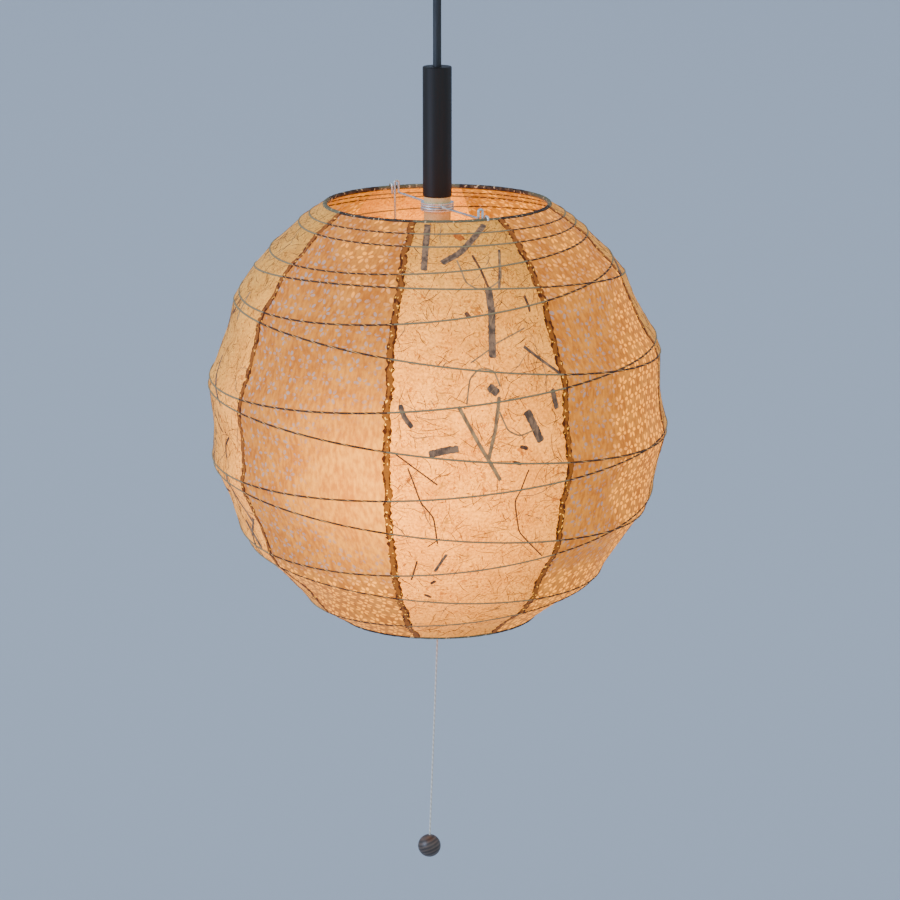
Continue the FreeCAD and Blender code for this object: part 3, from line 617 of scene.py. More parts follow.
def glowShare(tree, place, look, gain=1.0):
    # strength of the light coming through at a place on the shade
    azimuth, rise = math.radians(glow["hotAzimuth"]), math.radians(glow["hotRise"])
    hot = (math.sin(azimuth) * math.cos(rise), -math.cos(azimuth) * math.cos(rise), math.sin(rise))
    fromMiddle = addNode(tree, "ShaderNodeVectorMath", {0: place, 1: (0, 0, globe["middle"])},
                         operation="SUBTRACT")
    away = addNode(tree, "ShaderNodeVectorMath", {0: fromMiddle}, operation="NORMALIZE")
    toward = addNode(tree, "ShaderNodeVectorMath", {0: away, 1: hot}, operation="DOT_PRODUCT")
    height = addNode(tree, "ShaderNodeSeparateXYZ", {"Vector": away}).outputs["Z"]
    steep = addNode(tree, "ShaderNodeMath", {0: height, 1: height}, operation="MULTIPLY")
    level = addNode(tree, "ShaderNodeMath", {0: 1.0, 1: steep}, operation="SUBTRACT")
    facing = addNode(tree, "ShaderNodeMath", {0: toward}, operation="ABSOLUTE")
    near = addNode(tree, "ShaderNodeMath", {0: facing, 1: look["focus"]}, operation="POWER")
    total = addNode(tree, "ShaderNodeMath", {0: level, 1: look["belt"] * gain, 2: look["base"] * gain},
                    operation="MULTIPLY_ADD")
    return addNode(tree, "ShaderNodeMath", {0: near, 1: look["spot"] * gain, 2: total},
                   operation="MULTIPLY_ADD")


def strands(tree, flat, size, width):
    # thin curly lines, as the fibres in handmade paper lie
    field = grain(tree, flat, size, detail=1.5, distortion=0.6)
    offset = addNode(tree, "ShaderNodeMath", {0: field, 1: 0.5}, operation="SUBTRACT")
    away = addNode(tree, "ShaderNodeMath", {0: offset}, operation="ABSOLUTE")
    return addNode(tree, "ShaderNodeMapRange", {"Value": away, 1: 0.35 * width, 2: width, 3: 1.0, 4: 0.0},
                   interpolation_type="SMOOTHSTEP")


def finishPaper(tree, shader, share, height, depth):
    # soft and matt: half the light that falls on thin paper goes through it
    feed(tree, shader, {
        "Emission Strength": share,
        "Roughness": 0.85,
        "Specular IOR Level": 0.2,
        "Sheen Weight": 0.05,
        "Normal": addNode(tree, "ShaderNodeBump", {"Height": height, "Distance": depth * millimetre}),
    })


def tintPaper(tree, shader, colour, body, warmth):
    # its own colour is kept low, and what glows through it is warm
    for socket, tint in (("Base Color", body), ("Emission Color", warmth)):
        tinted = addNode(tree, "ShaderNodeMix", {"Factor": 1.0, "A": colour, "B": tint},
                         data_type="RGBA", blend_type="MULTIPLY")
        feed(tree, shader, {socket: tinted})


# handmade mulberry paper: cream, cloudy, with fine brown fibres and crumbs of bark
creamLook = {
    "light": "#f0e2c2", "dark": "#d6bf92", "body": "#bfb264", "warmth": "#ff991c",
    "base": 0.80, "belt": 0.05, "spot": 4.1, "focus": 2.8,
    # size in mm and detail, colour, where it starts and is full, and how strongly it shows
    "blotches": ((19, 3.0, "#b5a88c", 0.55, 0.72, 0.6), (13, 2.0, "#e0b868", 0.62, 0.75, 0.5)),
    "crumbs": ((1.9, 1.0, "#8a6034", 0.66, 0.71, 0.75),),
    # size in mm and width of the strands, their colour and how strongly they show
    "strands": ((9, 0.016, "#9a7648", 0.8), (5.5, 0.015, "#9a7648", 0.7), (15, 0.010, "#8f8870", 0.7)),
}


def creamFinish(name, gain, body):
    look = creamLook
    material, tree, shader, place = newFinish(name)
    flat = addNode(tree, "ShaderNodeUVMap", uv_map="flat")
    cloud = grain(tree, flat, 26)
    fine = grain(tree, flat, 2.2, detail=4.0)
    colour = clouded(tree, fine, cloud, 0.45, 0.14, look["dark"], look["light"])
    for size, detail, tone, *spread in look["blotches"]:
        colour = blotched(tree, colour, tone, grain(tree, flat, size, detail=detail), *spread)
    patches = addNode(tree, "ShaderNodeMapRange",
                      {"Value": grain(tree, flat, 30, detail=2.0), 1: 0.36, 2: 0.52},
                      interpolation_type="SMOOTHSTEP")
    for size, width, tone, weight in look["strands"]:
        line = addNode(tree, "ShaderNodeMath", {0: strands(tree, flat, size, width), 1: weight},
                       operation="MULTIPLY")
        shown = addNode(tree, "ShaderNodeMath", {0: line, 1: patches}, operation="MULTIPLY")
        colour = addNode(tree, "ShaderNodeMix", {"Factor": shown, "A": colour, "B": tone},
                         data_type="RGBA")
    for size, detail, tone, *spread in look["crumbs"]:
        colour = blotched(tree, colour, tone, grain(tree, flat, size, detail=detail), *spread)
    uneven = addNode(tree, "ShaderNodeMapRange", {"Value": fine, 1: 0.3, 2: 0.7, 3: 0.78, 4: 1.22},
                     interpolation_type="SMOOTHSTEP")
    share = addNode(tree, "ShaderNodeMath", {0: glowShare(tree, place, look, gain), 1: uneven},
                    operation="MULTIPLY")
    tintPaper(tree, shader, colour, body, look["warmth"])
    finishPaper(tree, shader, share, fine, 0.12)
    return material


# terracotta paper with small six-petalled flowers left undyed, so that they show paler
laceLook = {
    "light": "#d8a07a", "dark": "#ba7c56", "body": "#b09462", "warmth": "#ffd844",
    "cool": "#a2968c", "coolGlow": "#7e5a48", "bright": "#80581c", "brightGlow": "#ff9a18",
    "base": 1.15, "belt": 0.05, "spot": 3.4, "focus": 13.0,
    "pitch": 15.0, "petalReach": 4.1, "petalLength": 2.2, "petalWidth": 1.35,  # mm
    "drift": 12.0, "driftSize": 40.0,  # how far the rows wander, in mm
}
# where the flowers show brightly, as axis, from, to and strength at both, in metres from the middle
litZones = {"under": ("Z", -0.13, -0.075, 1.0, 0.0), "right": ("X", 0.115, 0.155, 0.0, 1.0),
            "above": ("Z", 0.085, 0.125, 0.0, 0.6), "rightHalf": ("X", -0.10, -0.06, 0.0, 1.0)}


def flowerMask(tree, flat):
    # rows of flowers, every other row set half a step aside
    look = laceLook
    pitch = look["pitch"] * millimetre
    drift = look["drift"] * millimetre
    cell = (pitch, pitch * math.sqrt(3), 1.0)
    wander = addNode(tree, "ShaderNodeTexNoise",
                     {"Vector": flat, "Scale": 1 / (look["driftSize"] * millimetre)}).outputs["Color"]
    pushed = addNode(tree, "ShaderNodeVectorMath", {0: wander, 1: (drift, drift, 0), 2: flat},
                     operation="MULTIPLY_ADD")
    petals = 0.0
    for shift in (0.0, 0.5):
        step = addNode(tree, "ShaderNodeVectorMath", {0: pushed, 1: cell}, operation="DIVIDE")
        moved = addNode(tree, "ShaderNodeVectorMath", {0: step, 1: (shift, shift, 0)}, operation="ADD")
        part = addNode(tree, "ShaderNodeVectorMath", {0: moved}, operation="FRACTION")
        centred = addNode(tree, "ShaderNodeVectorMath", {0: part, 1: (0.5, 0.5, 0)},
                          operation="SUBTRACT")
        sized = addNode(tree, "ShaderNodeVectorMath", {0: centred, 1: (cell[0], cell[1], 0)},
                        operation="MULTIPLY")
        axes = addNode(tree, "ShaderNodeSeparateXYZ", {"Vector": sized}).outputs
        reach = addNode(tree, "ShaderNodeVectorMath", {0: sized}, operation="LENGTH")
        turn = addNode(tree, "ShaderNodeMath", {0: axes["Y"], 1: axes["X"]}, operation="ARCTAN2")
        folded = addNode(tree, "ShaderNodeMath", {0: turn, 1: math.pi / 6, 2: -math.pi / 6},
                         operation="WRAP")
        squares = 0.0
        for operation, start, half in (("COSINE", look["petalReach"], look["petalLength"]),
                                       ("SINE", 0.0, look["petalWidth"])):
            lean = addNode(tree, "ShaderNodeMath", {0: folded}, operation=operation)
            away = addNode(tree, "ShaderNodeMath", {0: reach, 1: lean, 2: -start * millimetre},
                           operation="MULTIPLY_ADD")
            share = addNode(tree, "ShaderNodeMath", {0: away, 1: half * millimetre}, operation="DIVIDE")
            squares = addNode(tree, "ShaderNodeMath", {0: share, 1: share, 2: squares},
                              operation="MULTIPLY_ADD")
        petal = addNode(tree, "ShaderNodeMapRange", {"Value": squares, 1: 0.65, 2: 1.2, 3: 1.0, 4: 0.0},
                        interpolation_type="SMOOTHSTEP")
        petals = addNode(tree, "ShaderNodeMath", {0: petals, 1: petal}, operation="MAXIMUM")
    return petals


def litShare(tree, place, cloud):
    # 1 in the zones where the flowers show brightly, with a cloudy edge
    axes = addNode(tree, "ShaderNodeSeparateXYZ", {"Vector": place}).outputs
    zones = {}
    for zone, (axis, low, high, start, end) in litZones.items():
        middle = globe["middle"] if axis == "Z" else 0.0
        zones[zone] = addNode(tree, "ShaderNodeMapRange", {"Value": axes[axis], 1: middle + low,
                                                           2: middle + high, 3: start, 4: end},
                              interpolation_type="SMOOTHSTEP")
    over = addNode(tree, "ShaderNodeMath", {0: zones["above"], 1: zones["rightHalf"]},
                   operation="MULTIPLY")
    lit = addNode(tree, "ShaderNodeMath", {0: zones["under"], 1: zones["right"]}, operation="MAXIMUM")
    lit = addNode(tree, "ShaderNodeMath", {0: lit, 1: over}, operation="MAXIMUM")
    lit = addNode(tree, "ShaderNodeMath", {0: cloud, 1: 1.2, 2: lit}, operation="MULTIPLY_ADD")
    return addNode(tree, "ShaderNodeMapRange", {"Value": lit, 1: 0.8, 2: 1.4},
                   interpolation_type="SMOOTHSTEP")


def laceFinish(name, gain, body):
    look = laceLook
    material, tree, shader, place = newFinish(name)
    flat = addNode(tree, "ShaderNodeUVMap", uv_map="flat")
    streak = grain(tree, flat, 3.0, (1, 2.5, 1), detail=4.0)
    cloud = grain(tree, flat, 24)
    ground = clouded(tree, streak, cloud, 0.5, 0.14, look["dark"], look["light"])
    lit = litShare(tree, place, cloud)
    share = glowShare(tree, place, look, gain)
    # the undyed flowers look cool by daylight, warm where the bulb stands behind, and go in the glare
    uneven = addNode(tree, "ShaderNodeMapRange", {"Value": grain(tree, flat, 7), 1: 0.40, 2: 0.60},
                     interpolation_type="SMOOTHSTEP")
    glare = addNode(tree, "ShaderNodeMapRange",
                    {"Value": share, 1: 1.9 * gain, 2: 3.6 * gain, 3: 0.8, 4: 0.0},
                    interpolation_type="SMOOTHSTEP")
    cool = addNode(tree, "ShaderNodeMath", {0: uneven, 1: glare}, operation="MULTIPLY")
    shown = addNode(tree, "ShaderNodeMath", {0: cool, 1: lit}, operation="MAXIMUM")
    strength = addNode(tree, "ShaderNodeMath", {0: flowerMask(tree, flat), 1: shown},
                       operation="MULTIPLY")
    for socket, tint, coolTone, brightTone in (
            ("Base Color", body, look["cool"], look["bright"]),
            ("Emission Color", look["warmth"], look["coolGlow"], look["brightGlow"])):
        dyed = addNode(tree, "ShaderNodeMix", {"Factor": 1.0, "A": ground, "B": tint},
                       data_type="RGBA", blend_type="MULTIPLY")
        undyed = addNode(tree, "ShaderNodeMix", {"Factor": lit, "A": coolTone, "B": brightTone},
                         data_type="RGBA")
        colour = addNode(tree, "ShaderNodeMix", {"Factor": strength, "A": dyed, "B": undyed},
                         data_type="RGBA")
        feed(tree, shader, {socket: colour})
    patchy = addNode(tree, "ShaderNodeMapRange", {"Value": streak, 1: 0.3, 2: 0.7, 3: 0.9, 4: 1.1},
                     interpolation_type="SMOOTHSTEP")
    flowers = addNode(tree, "ShaderNodeMath", {0: strength, 1: lit}, operation="MULTIPLY")
    brighter = addNode(tree, "ShaderNodeMath", {0: flowers, 1: 0.9, 2: patchy},
                       operation="MULTIPLY_ADD")
    share = addNode(tree, "ShaderNodeMath", {0: share, 1: brighter}, operation="MULTIPLY")
    finishPaper(tree, shader, share, grain(tree, flat, 1.6), 0.1)
    return material


# the bulb lights the inside so strongly that a darker tint stands for the exposure
paperInside = {"tint": "#86720c", "cream": 1.35, "lace": 1.15}
paperFinishes = {
    "cream": (creamFinish("mulberry paper", 1.0, creamLook["body"]),
              creamFinish("mulberry paper lit inside", paperInside["cream"], paperInside["tint"])),
    "lace": (laceFinish("flowered paper", 1.0, laceLook["body"]),
             laceFinish("flowered paper lit inside", paperInside["lace"], paperInside["tint"])),
}


def makePanels():
    for index in range(globe["panels"]):
        kind = "lace" if index % 2 else "cream"
        number = index // 2 + 1
        name = "%s_paper_%d" % (kind, number)
        mesh = panelMesh(name, seamAt(index), *paperFinishes[kind])
        piece = linked(bpy.data.objects.new(name, mesh))
        folds(piece, ["panel_%s_%d" % (kind, number)])


makePanels()
print("paper panels made")

# geometry trees: a tube along a line, and fibres strewn over a flat cut of paper


def newTree(name, inputs):
    tree = bpy.data.node_groups.new(name, "GeometryNodeTree")
    tree.interface.new_socket("Geometry", in_out="OUTPUT", socket_type="NodeSocketGeometry")
    for label, kind in [("Geometry", "Geometry")] + inputs:
        tree.interface.new_socket(label, in_out="INPUT", socket_type="NodeSocket" + kind)
    return tree, addNode(tree, "NodeGroupInput").outputs


def finishTubes(tree, curve, size, circle, material):
    # tubes along the curves, swelling with size, as plain smooth mesh in one material
    profile = addNode(tree, "GeometryNodeCurvePrimitiveCircle", circle)
    sized = addNode(tree, "GeometryNodeSetCurveRadius", {"Curve": curve, "Radius": size})
    tube = addNode(tree, "GeometryNodeCurveToMesh",
                   {"Curve": sized, "Profile Curve": profile, "Fill Caps": True})
    if "Scale" in tube.inputs:
        feed(tree, tube, {"Scale": size})
    real = addNode(tree, "GeometryNodeRealizeInstances", {"Geometry": tube})
    smooth = addNode(tree, "GeometryNodeSetShadeSmooth", {"Geometry": real})
    painted = addNode(tree, "GeometryNodeSetMaterial", {"Geometry": smooth, "Material": material})
    addNode(tree, "NodeGroupOutput", {"Geometry": painted})


def tubeTree():
    # a tube along the edges it is given, uneven like twisted paper if asked
    tree, given = newTree("tube along a line", [("Radius", "Float"), ("Uneven", "Float"),
                                                ("Grain", "Float"), ("Sides", "Int"),
                                                ("Material", "Material")])
    line = addNode(tree, "GeometryNodeMeshToCurve", {"Mesh": given["Geometry"]})
    perMetre = addNode(tree, "ShaderNodeMath", {0: 1.0, 1: given["Grain"]}, operation="DIVIDE")
    lumps = addNode(tree, "ShaderNodeTexNoise", {"Scale": perMetre, "Detail": 2.0})
    offset = addNode(tree, "ShaderNodeMath", {0: lumps, 1: 0.5}, operation="SUBTRACT")
    swing = addNode(tree, "ShaderNodeMath", {0: offset, 1: 4.0}, operation="MULTIPLY")
    size = addNode(tree, "ShaderNodeMath", {0: swing, 1: given["Uneven"], 2: 1.0},
                   operation="MULTIPLY_ADD")
    finishTubes(tree, line, size, {"Resolution": given["Sides"], "Radius": given["Radius"]},
                given["Material"])
    return tree


def fibreTree():
    # bent fibres of uneven length lying every way on a flat cut of paper
    tree, given = newTree("strewn fibres", [("Density", "Float"), ("Longest", "Float"),
                                            ("Radius", "Float"), ("Bend", "Float"), ("Seed", "Int"),
                                            ("Material", "Material")])
    spots = addNode(tree, "GeometryNodeDistributePointsOnFaces",
                    {"Mesh": given["Geometry"], "Density": given["Density"], "Seed": given["Seed"]})
    line = addNode(tree, "GeometryNodeCurvePrimitiveLine", {"Start": (-0.5, 0, 0), "End": (0.5, 0, 0)})
    steps = addNode(tree, "GeometryNodeResampleCurve", {"Curve": line, "Count": 7})
    turn = addNode(tree, "FunctionNodeRandomValue",
                   {"Seed": given["Seed"], "Min": 0.0, "Max": 2 * math.pi}, data_type="FLOAT")
    heading = addNode(tree, "ShaderNodeCombineXYZ", {"Z": turn})
    otherSeed = addNode(tree, "ShaderNodeMath", {0: given["Seed"], 1: 9}, operation="ADD")
    share = addNode(tree, "FunctionNodeRandomValue", {"Seed": otherSeed, "Min": 0.12, "Max": 1.0},
                    data_type="FLOAT")
    portion = addNode(tree, "ShaderNodeMath", {0: share, 1: 2.0}, operation="POWER")
    length = addNode(tree, "ShaderNodeMath", {0: portion, 1: given["Longest"]}, operation="MULTIPLY")
    strewn = addNode(tree, "GeometryNodeInstanceOnPoints",
                     {"Points": spots, "Instance": steps, "Rotation": heading, "Scale": length})
    real = addNode(tree, "GeometryNodeRealizeInstances", {"Geometry": strewn})
    # the noise that bends them turns every 18 mm or so
    field = addNode(tree, "ShaderNodeTexNoise", {"Scale": 55.0, "Detail": 1.0}).outputs["Color"]
    offset = addNode(tree, "ShaderNodeVectorMath", {0: field, 1: (0.5, 0.5, 0.5)},
                     operation="SUBTRACT")
    bend = addNode(tree, "ShaderNodeCombineXYZ", {"X": given["Bend"], "Y": given["Bend"]})
    push = addNode(tree, "ShaderNodeVectorMath", {0: offset, 1: bend}, operation="MULTIPLY")
    bent = addNode(tree, "GeometryNodeSetPosition", {"Geometry": real, "Offset": push})
    # thick at the middle and thin at both ends
    along = addNode(tree, "GeometryNodeSplineParameter").outputs["Factor"]
    arc = addNode(tree, "ShaderNodeMath", {0: along, 1: 2.7, 2: 0.2}, operation="MULTIPLY_ADD")
    taper = addNode(tree, "ShaderNodeMath", {0: arc}, operation="SINE")
    finishTubes(tree, bent, taper, {"Radius": given["Radius"], "Resolution": 4}, given["Material"])
    return tree


def grown(name, mesh, tree, values):
    # the tree's result on a mesh, as a plain object with no modifier left
    piece = linked(bpy.data.objects.new(name, mesh))
    modifier = piece.modifiers.new(tree.name, "NODES")
    modifier.node_group = tree
    for socket in tree.interface.items_tree:
        if socket.in_out == "INPUT" and socket.name in values:
            modifier[socket.identifier] = values[socket.name]
    bpy.context.view_layer.update()
    evaluated = piece.evaluated_get(bpy.context.evaluated_depsgraph_get())
    plain = bpy.data.meshes.new_from_object(evaluated)
    plain.name = name
    piece.modifiers.remove(modifier)
    piece.data = plain
    return piece


def closedLine(name, places):
    mesh = bpy.data.meshes.new(name)
    count = len(places)
    mesh.from_pydata([tuple(p) for p in places], [(i, (i + 1) % count) for i in range(count)], [])
    return mesh


tubeAlong = tubeTree()
strewnFibres = fibreTree()

# ribs: split bamboo just under the paper, which shows as a fine ridge over each

rib = {"radius": 0.00082, "sink": 0.00018, "step": 1.5, "uneven": 0.12, "grain": 0.006, "sides": 8}
# dark on the flowered panels, with a paler break in every dash of so many mm, and grey on the cream: the
# bamboo's own colour together with painted shade where the rib blocks the bulb's light
ribLook = {"lace": "#351b0b", "cream": "#75694c", "break": "#c08c50", "dash": 14.0,
           "breakFrom": 0.82, "breakFull": 0.90, "slant": 250.0, "jitter": 1.5, "glow": 0.35}


def laceShare(tree, place):
    # 1 on the flowered panels and 0 on the cream ones, and the azimuth that it comes from
    axes = addNode(tree, "ShaderNodeSeparateXYZ", {"Vector": place}).outputs
    behind = addNode(tree, "ShaderNodeMath", {0: axes["Y"], 1: -1.0}, operation="MULTIPLY")
    azimuth = addNode(tree, "ShaderNodeMath", {0: axes["X"], 1: behind}, operation="ARCTAN2")
    fromSeam = addNode(tree, "ShaderNodeMath", {0: azimuth, 1: math.radians(globe["firstSeam"])},
                       operation="SUBTRACT")
    panels = addNode(tree, "ShaderNodeMath", {0: fromSeam, 1: 2 * math.pi / globe["panels"]},
                     operation="DIVIDE")
    pair = addNode(tree, "ShaderNodeMath", {0: panels, 1: 2.0, 2: 0.0}, operation="WRAP")
    odd = addNode(tree, "ShaderNodeMath", {0: pair, 1: 1.0}, operation="GREATER_THAN")
    return odd, azimuth, axes["Z"]


def ribFinish():
    # split bamboo seen through thin paper: matt, darker than the paper round it, partly its own colour
    # and partly painted shade where it blocks the bulb's light
    material, tree, shader, place = newFinish("bamboo under paper")
    odd, azimuth, height = laceShare(tree, place)
    perDash = globe["radius"] / (ribLook["dash"] * millimetre)
    arc = addNode(tree, "ShaderNodeMath", {0: azimuth, 1: perDash}, operation="MULTIPLY")
    shifted = addNode(tree, "ShaderNodeMath", {0: height, 1: ribLook["slant"], 2: arc},
                      operation="MULTIPLY_ADD")
    jitter = addNode(tree, "ShaderNodeMath",
                     {0: grain(tree, place, 25), 1: ribLook["jitter"], 2: shifted},
                     operation="MULTIPLY_ADD")
    dash = addNode(tree, "ShaderNodeMath", {0: jitter}, operation="FRACT")
    gap = addNode(tree, "ShaderNodeMapRange",
                  {"Value": dash, 1: ribLook["breakFrom"], 2: ribLook["breakFull"]},
                  interpolation_type="SMOOTHSTEP")
    gap = addNode(tree, "ShaderNodeMath", {0: gap, 1: odd}, operation="MULTIPLY")
    fine = grain(tree, place, 3)
    dark = addNode(tree, "ShaderNodeMix", {"Factor": odd, "A": ribLook["cream"], "B": ribLook["lace"]},
                   data_type="RGBA")
    dark = blotched(tree, dark, ribLook["break"], fine, 0.4, 0.7, 0.18)
    pale = addNode(tree, "ShaderNodeMath", {0: gap, 1: 0.8}, operation="MULTIPLY")
    colour = addNode(tree, "ShaderNodeMix", {"Factor": pale, "A": dark, "B": ribLook["break"]},
                     data_type="RGBA")
    # painted glow: emission stands for the bulb's light through the paper over the rib, brighter at the
    # breaks
    lift = addNode(tree, "ShaderNodeMath", {0: gap, 1: ribLook["glow"], 2: ribLook["glow"]},
                   operation="MULTIPLY_ADD")
    feed(tree, shader, {
        "Base Color": colour, "Emission Color": colour, "Emission Strength": lift, "Roughness": 0.8,
        "Normal": addNode(tree, "ShaderNodeBump", {"Height": fine, "Distance": 0.08 * millimetre}),
    })
    return material


def makeRibs():
    finish = ribFinish()
    azimuth = np.arange(0, 360, rib["step"])
    rows = fromTable(ribRows, azimuth)
    for number, name in enumerate(ribNames):
        line = closedLine(name, onPaper(azimuth, rows[:, number], -rib["sink"]))
        piece = grown("paper_over_" + name, line, tubeAlong,
                      {"Radius": rib["radius"], "Uneven": rib["uneven"], "Grain": rib["grain"],
                       "Sides": rib["sides"], "Material": finish})
        folds(piece, [name])


makeRibs()
print("ribs made")

# seams: the flowered paper is turned over the cream one and glued, with a ragged torn edge

seam = {
    "width": 0.0062, "ragged": 0.0020, "raggedSize": 0.0036, "wander": 0.0022, "wanderSize": 0.016,
    "height": 0.0005, "puff": 0.6, "puffSize": 0.006, "step": 0.0012,
    # across the seam from edge to edge and back under it: place, share of the height, plain height
    "section": ((-1, 0, -0.0001), (-0.8, 0, 0.00022), (-0.35, 0.8, 0), (0, 0.62, 0), (0.35, 0.8, 0),
                (0.8, 0, 0.00022), (1, 0, -0.0001), (0, 0, -0.0002)),
}
seamLook = {"edge": "#5e3219", "middle": "#a97250", "fleck": "#f0c690",
            "base": 0.8, "belt": 0.1, "spot": 1.4, "focus": 8}


def seamFinish():
    # two layers of paper and dried glue: darker toward its torn edges, with pale flecks
    material, tree, shader, place = newFinish("torn paper overlap")
    flat = addNode(tree, "ShaderNodeUVMap", uv_map="flat")
    aside = addNode(tree, "ShaderNodeSeparateXYZ", {"Vector": flat}).outputs["X"]
    across = addNode(tree, "ShaderNodeMath", {0: aside}, operation="ABSOLUTE")
    ragged = grain(tree, flat, 4.2, (1, 1.6, 1))
    torn = addNode(tree, "ShaderNodeMapRange", {"Value": ragged, 1: 0.25, 2: 0.75, 3: -0.8, 4: 0.8},
                   interpolation_type="SMOOTHSTEP")
    share = addNode(tree, "ShaderNodeMath", {0: across, 1: seam["width"] / 2}, operation="DIVIDE")
    total = addNode(tree, "ShaderNodeMath", {0: share, 1: torn}, operation="ADD")
    colour = blotched(tree, seamLook["middle"], seamLook["edge"], total, 0.35, 0.9, 1.0)
    spots = addNode(tree, "ShaderNodeMapRange",
                    {"Value": grain(tree, flat, 2.6, (1, 1.3, 1), detail=1.0), 1: 0.62, 2: 0.70},
                    interpolation_type="SMOOTHSTEP")
    pale = addNode(tree, "ShaderNodeMath", {0: spots, 1: 0.85}, operation="MULTIPLY")
    colour = addNode(tree, "ShaderNodeMix", {"Factor": pale, "A": colour, "B": seamLook["fleck"]},
                     data_type="RGBA")
    # painted light: the glow through the paper is drawn stronger on the pale flecks
    brighter = addNode(tree, "ShaderNodeMath", {0: spots, 1: 1.6, 2: 0.6}, operation="MULTIPLY_ADD")
    strength = addNode(tree, "ShaderNodeMath", {0: glowShare(tree, place, seamLook), 1: brighter},
                       operation="MULTIPLY")
    tintPaper(tree, shader, colour, laceLook["body"], laceLook["warmth"])
    finishPaper(tree, shader, strength, ragged, 0.2)
    return material


def alongNoise(s, size, offset):
    return np.array([noise.noise(Vector((v / size, offset, 0))) for v in s])


def seamMesh(name, index, material):
    s = np.linspace(0, meridian, round(meridian / seam["step"]))
    shift = index * 3.1  # each seam takes another stretch of the noise
    drift = seam["wander"] * alongNoise(s, seam["wanderSize"], shift)
    left = seam["width"] / 2 + seam["ragged"] * alongNoise(s, seam["raggedSize"], shift + 11)
    right = seam["width"] / 2 + seam["ragged"] * alongNoise(s, seam["raggedSize"], shift + 23)
    puff = 1 + seam["puff"] * alongNoise(s, seam["puffSize"], shift + 37)
    ring = len(seam["section"])
    places, flat = [], []
    radius = outline(s)[0]
    for share, lift, plain in seam["section"]:
        side = drift + np.where(share < 0, left, right) * share
        azimuth = seamAt(index) + np.degrees(side / radius)
        places.append(onPaper(azimuth, s, lift * seam["height"] * puff + plain))
        flat.append(np.stack([side - drift, s], axis=-1))
    rows = len(s)
    faces = []
    for i in range(ring):
        base, other = i * rows, (i + 1) % ring * rows
        faces += [(base + k, other + k, other + k + 1, base + k + 1) for k in range(rows - 1)]
    faces.append([i * rows for i in reversed(range(ring))])
    faces.append([i * rows + rows - 1 for i in range(ring)])
    mesh = meshFrom(name, np.concatenate(places), faces, np.concatenate(flat))
    mesh.materials.append(material)
    return mesh


def makeSeams():
    finish = seamFinish()
    for index in range(globe["panels"]):
        name = "seam_overlap_%d" % (index + 1)
        piece = linked(bpy.data.objects.new(name, seamMesh(name, index, finish)))
        folds(piece)


makeSeams()
print("seams made")

# rims: the paper is rolled over each ring and glued down

rim = {"radius": 0.00185, "proud": 0.0009, "uneven": 0.10, "grain": 0.005, "points": 360, "sides": 12}
rimLook = {"lace": "#2c1a0e", "cream": "#5c5840", "fleck": "#d9b888", "worn": "#b08a60"}


def rimFinish():
    # several layers of paper and glue: dark, lumpy and matt, with pale flecks
    material, tree, shader, place = newFinish("paper rolled over the ring")
    odd = laceShare(tree, place)[0]
    lumps = grain(tree, place, 4)
    colour = addNode(tree, "ShaderNodeMix", {"Factor": odd, "A": rimLook["cream"], "B": rimLook["lace"]},
                     data_type="RGBA")
    colour = blotched(tree, colour, rimLook["fleck"], grain(tree, place, 2.6, detail=1.0),
                      0.63, 0.68, 0.8)
    colour = blotched(tree, colour, rimLook["worn"], lumps, 0.4, 0.7, 0.2)
    # painted glow: a faint even emission stands for the bulb's light through the rolled paper
    feed(tree, shader, {
        "Base Color": colour, "Emission Color": colour, "Emission Strength": 0.10, "Roughness": 0.85,
        "Normal": addNode(tree, "ShaderNodeBump", {"Height": lumps, "Distance": 0.3 * millimetre}),
    })
    return material


def makeRims():
    finish = rimFinish()
    turns = [2 * math.pi * k / rim["points"] for k in range(rim["points"])]
    for name, ring, up, body in (("top_rim_fold", topRing, 1, "top_ring"),
                                 ("bottom_rim_fold", lowRing, -1, "pendant")):
        radius, height = ring["radius"], ring["z"] + up * rim["proud"]
        line = closedLine(name, [(radius * math.cos(t), radius * math.sin(t), height) for t in turns])
        piece = grown(name, line, tubeAlong,
                      {"Radius": rim["radius"], "Uneven": rim["uneven"], "Grain": rim["grain"],
                       "Sides": rim["sides"], "Material": finish})
        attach(piece, body)


makeRims()
print("rims made")

# the cream paper's own fibres and scraps of bark, laid flat on each panel and then wrapped on it

fibreKinds = {
    "fine": {"density": 15000, "longest": 0.024, "radius": 0.00026, "bend": 0.012, "tone": "brown"},
    "long": {"density": 700, "longest": 0.055, "radius": 0.00042, "bend": 0.03, "tone": "dust"},
}
cut = {"margin": 0.004, "ends": 0.006, "rows": 60, "clearSide": 0.0012, "clearEnds": 0.002}
bark = {"step": 0.0012, "ragged": 0.12, "raggedSize": 0.0022, "top": 0.00016, "bottom": -0.0001,
        "blunt": 0.7, "roundings": 6}
tones = {"slate": ("#4c3829", "#806046"), "brown": ("#43291a", "#6f4426"),
         "dust": ("#76583a", "#a07a4e"), "orange": ("#8a3a04", "#c0640c")}
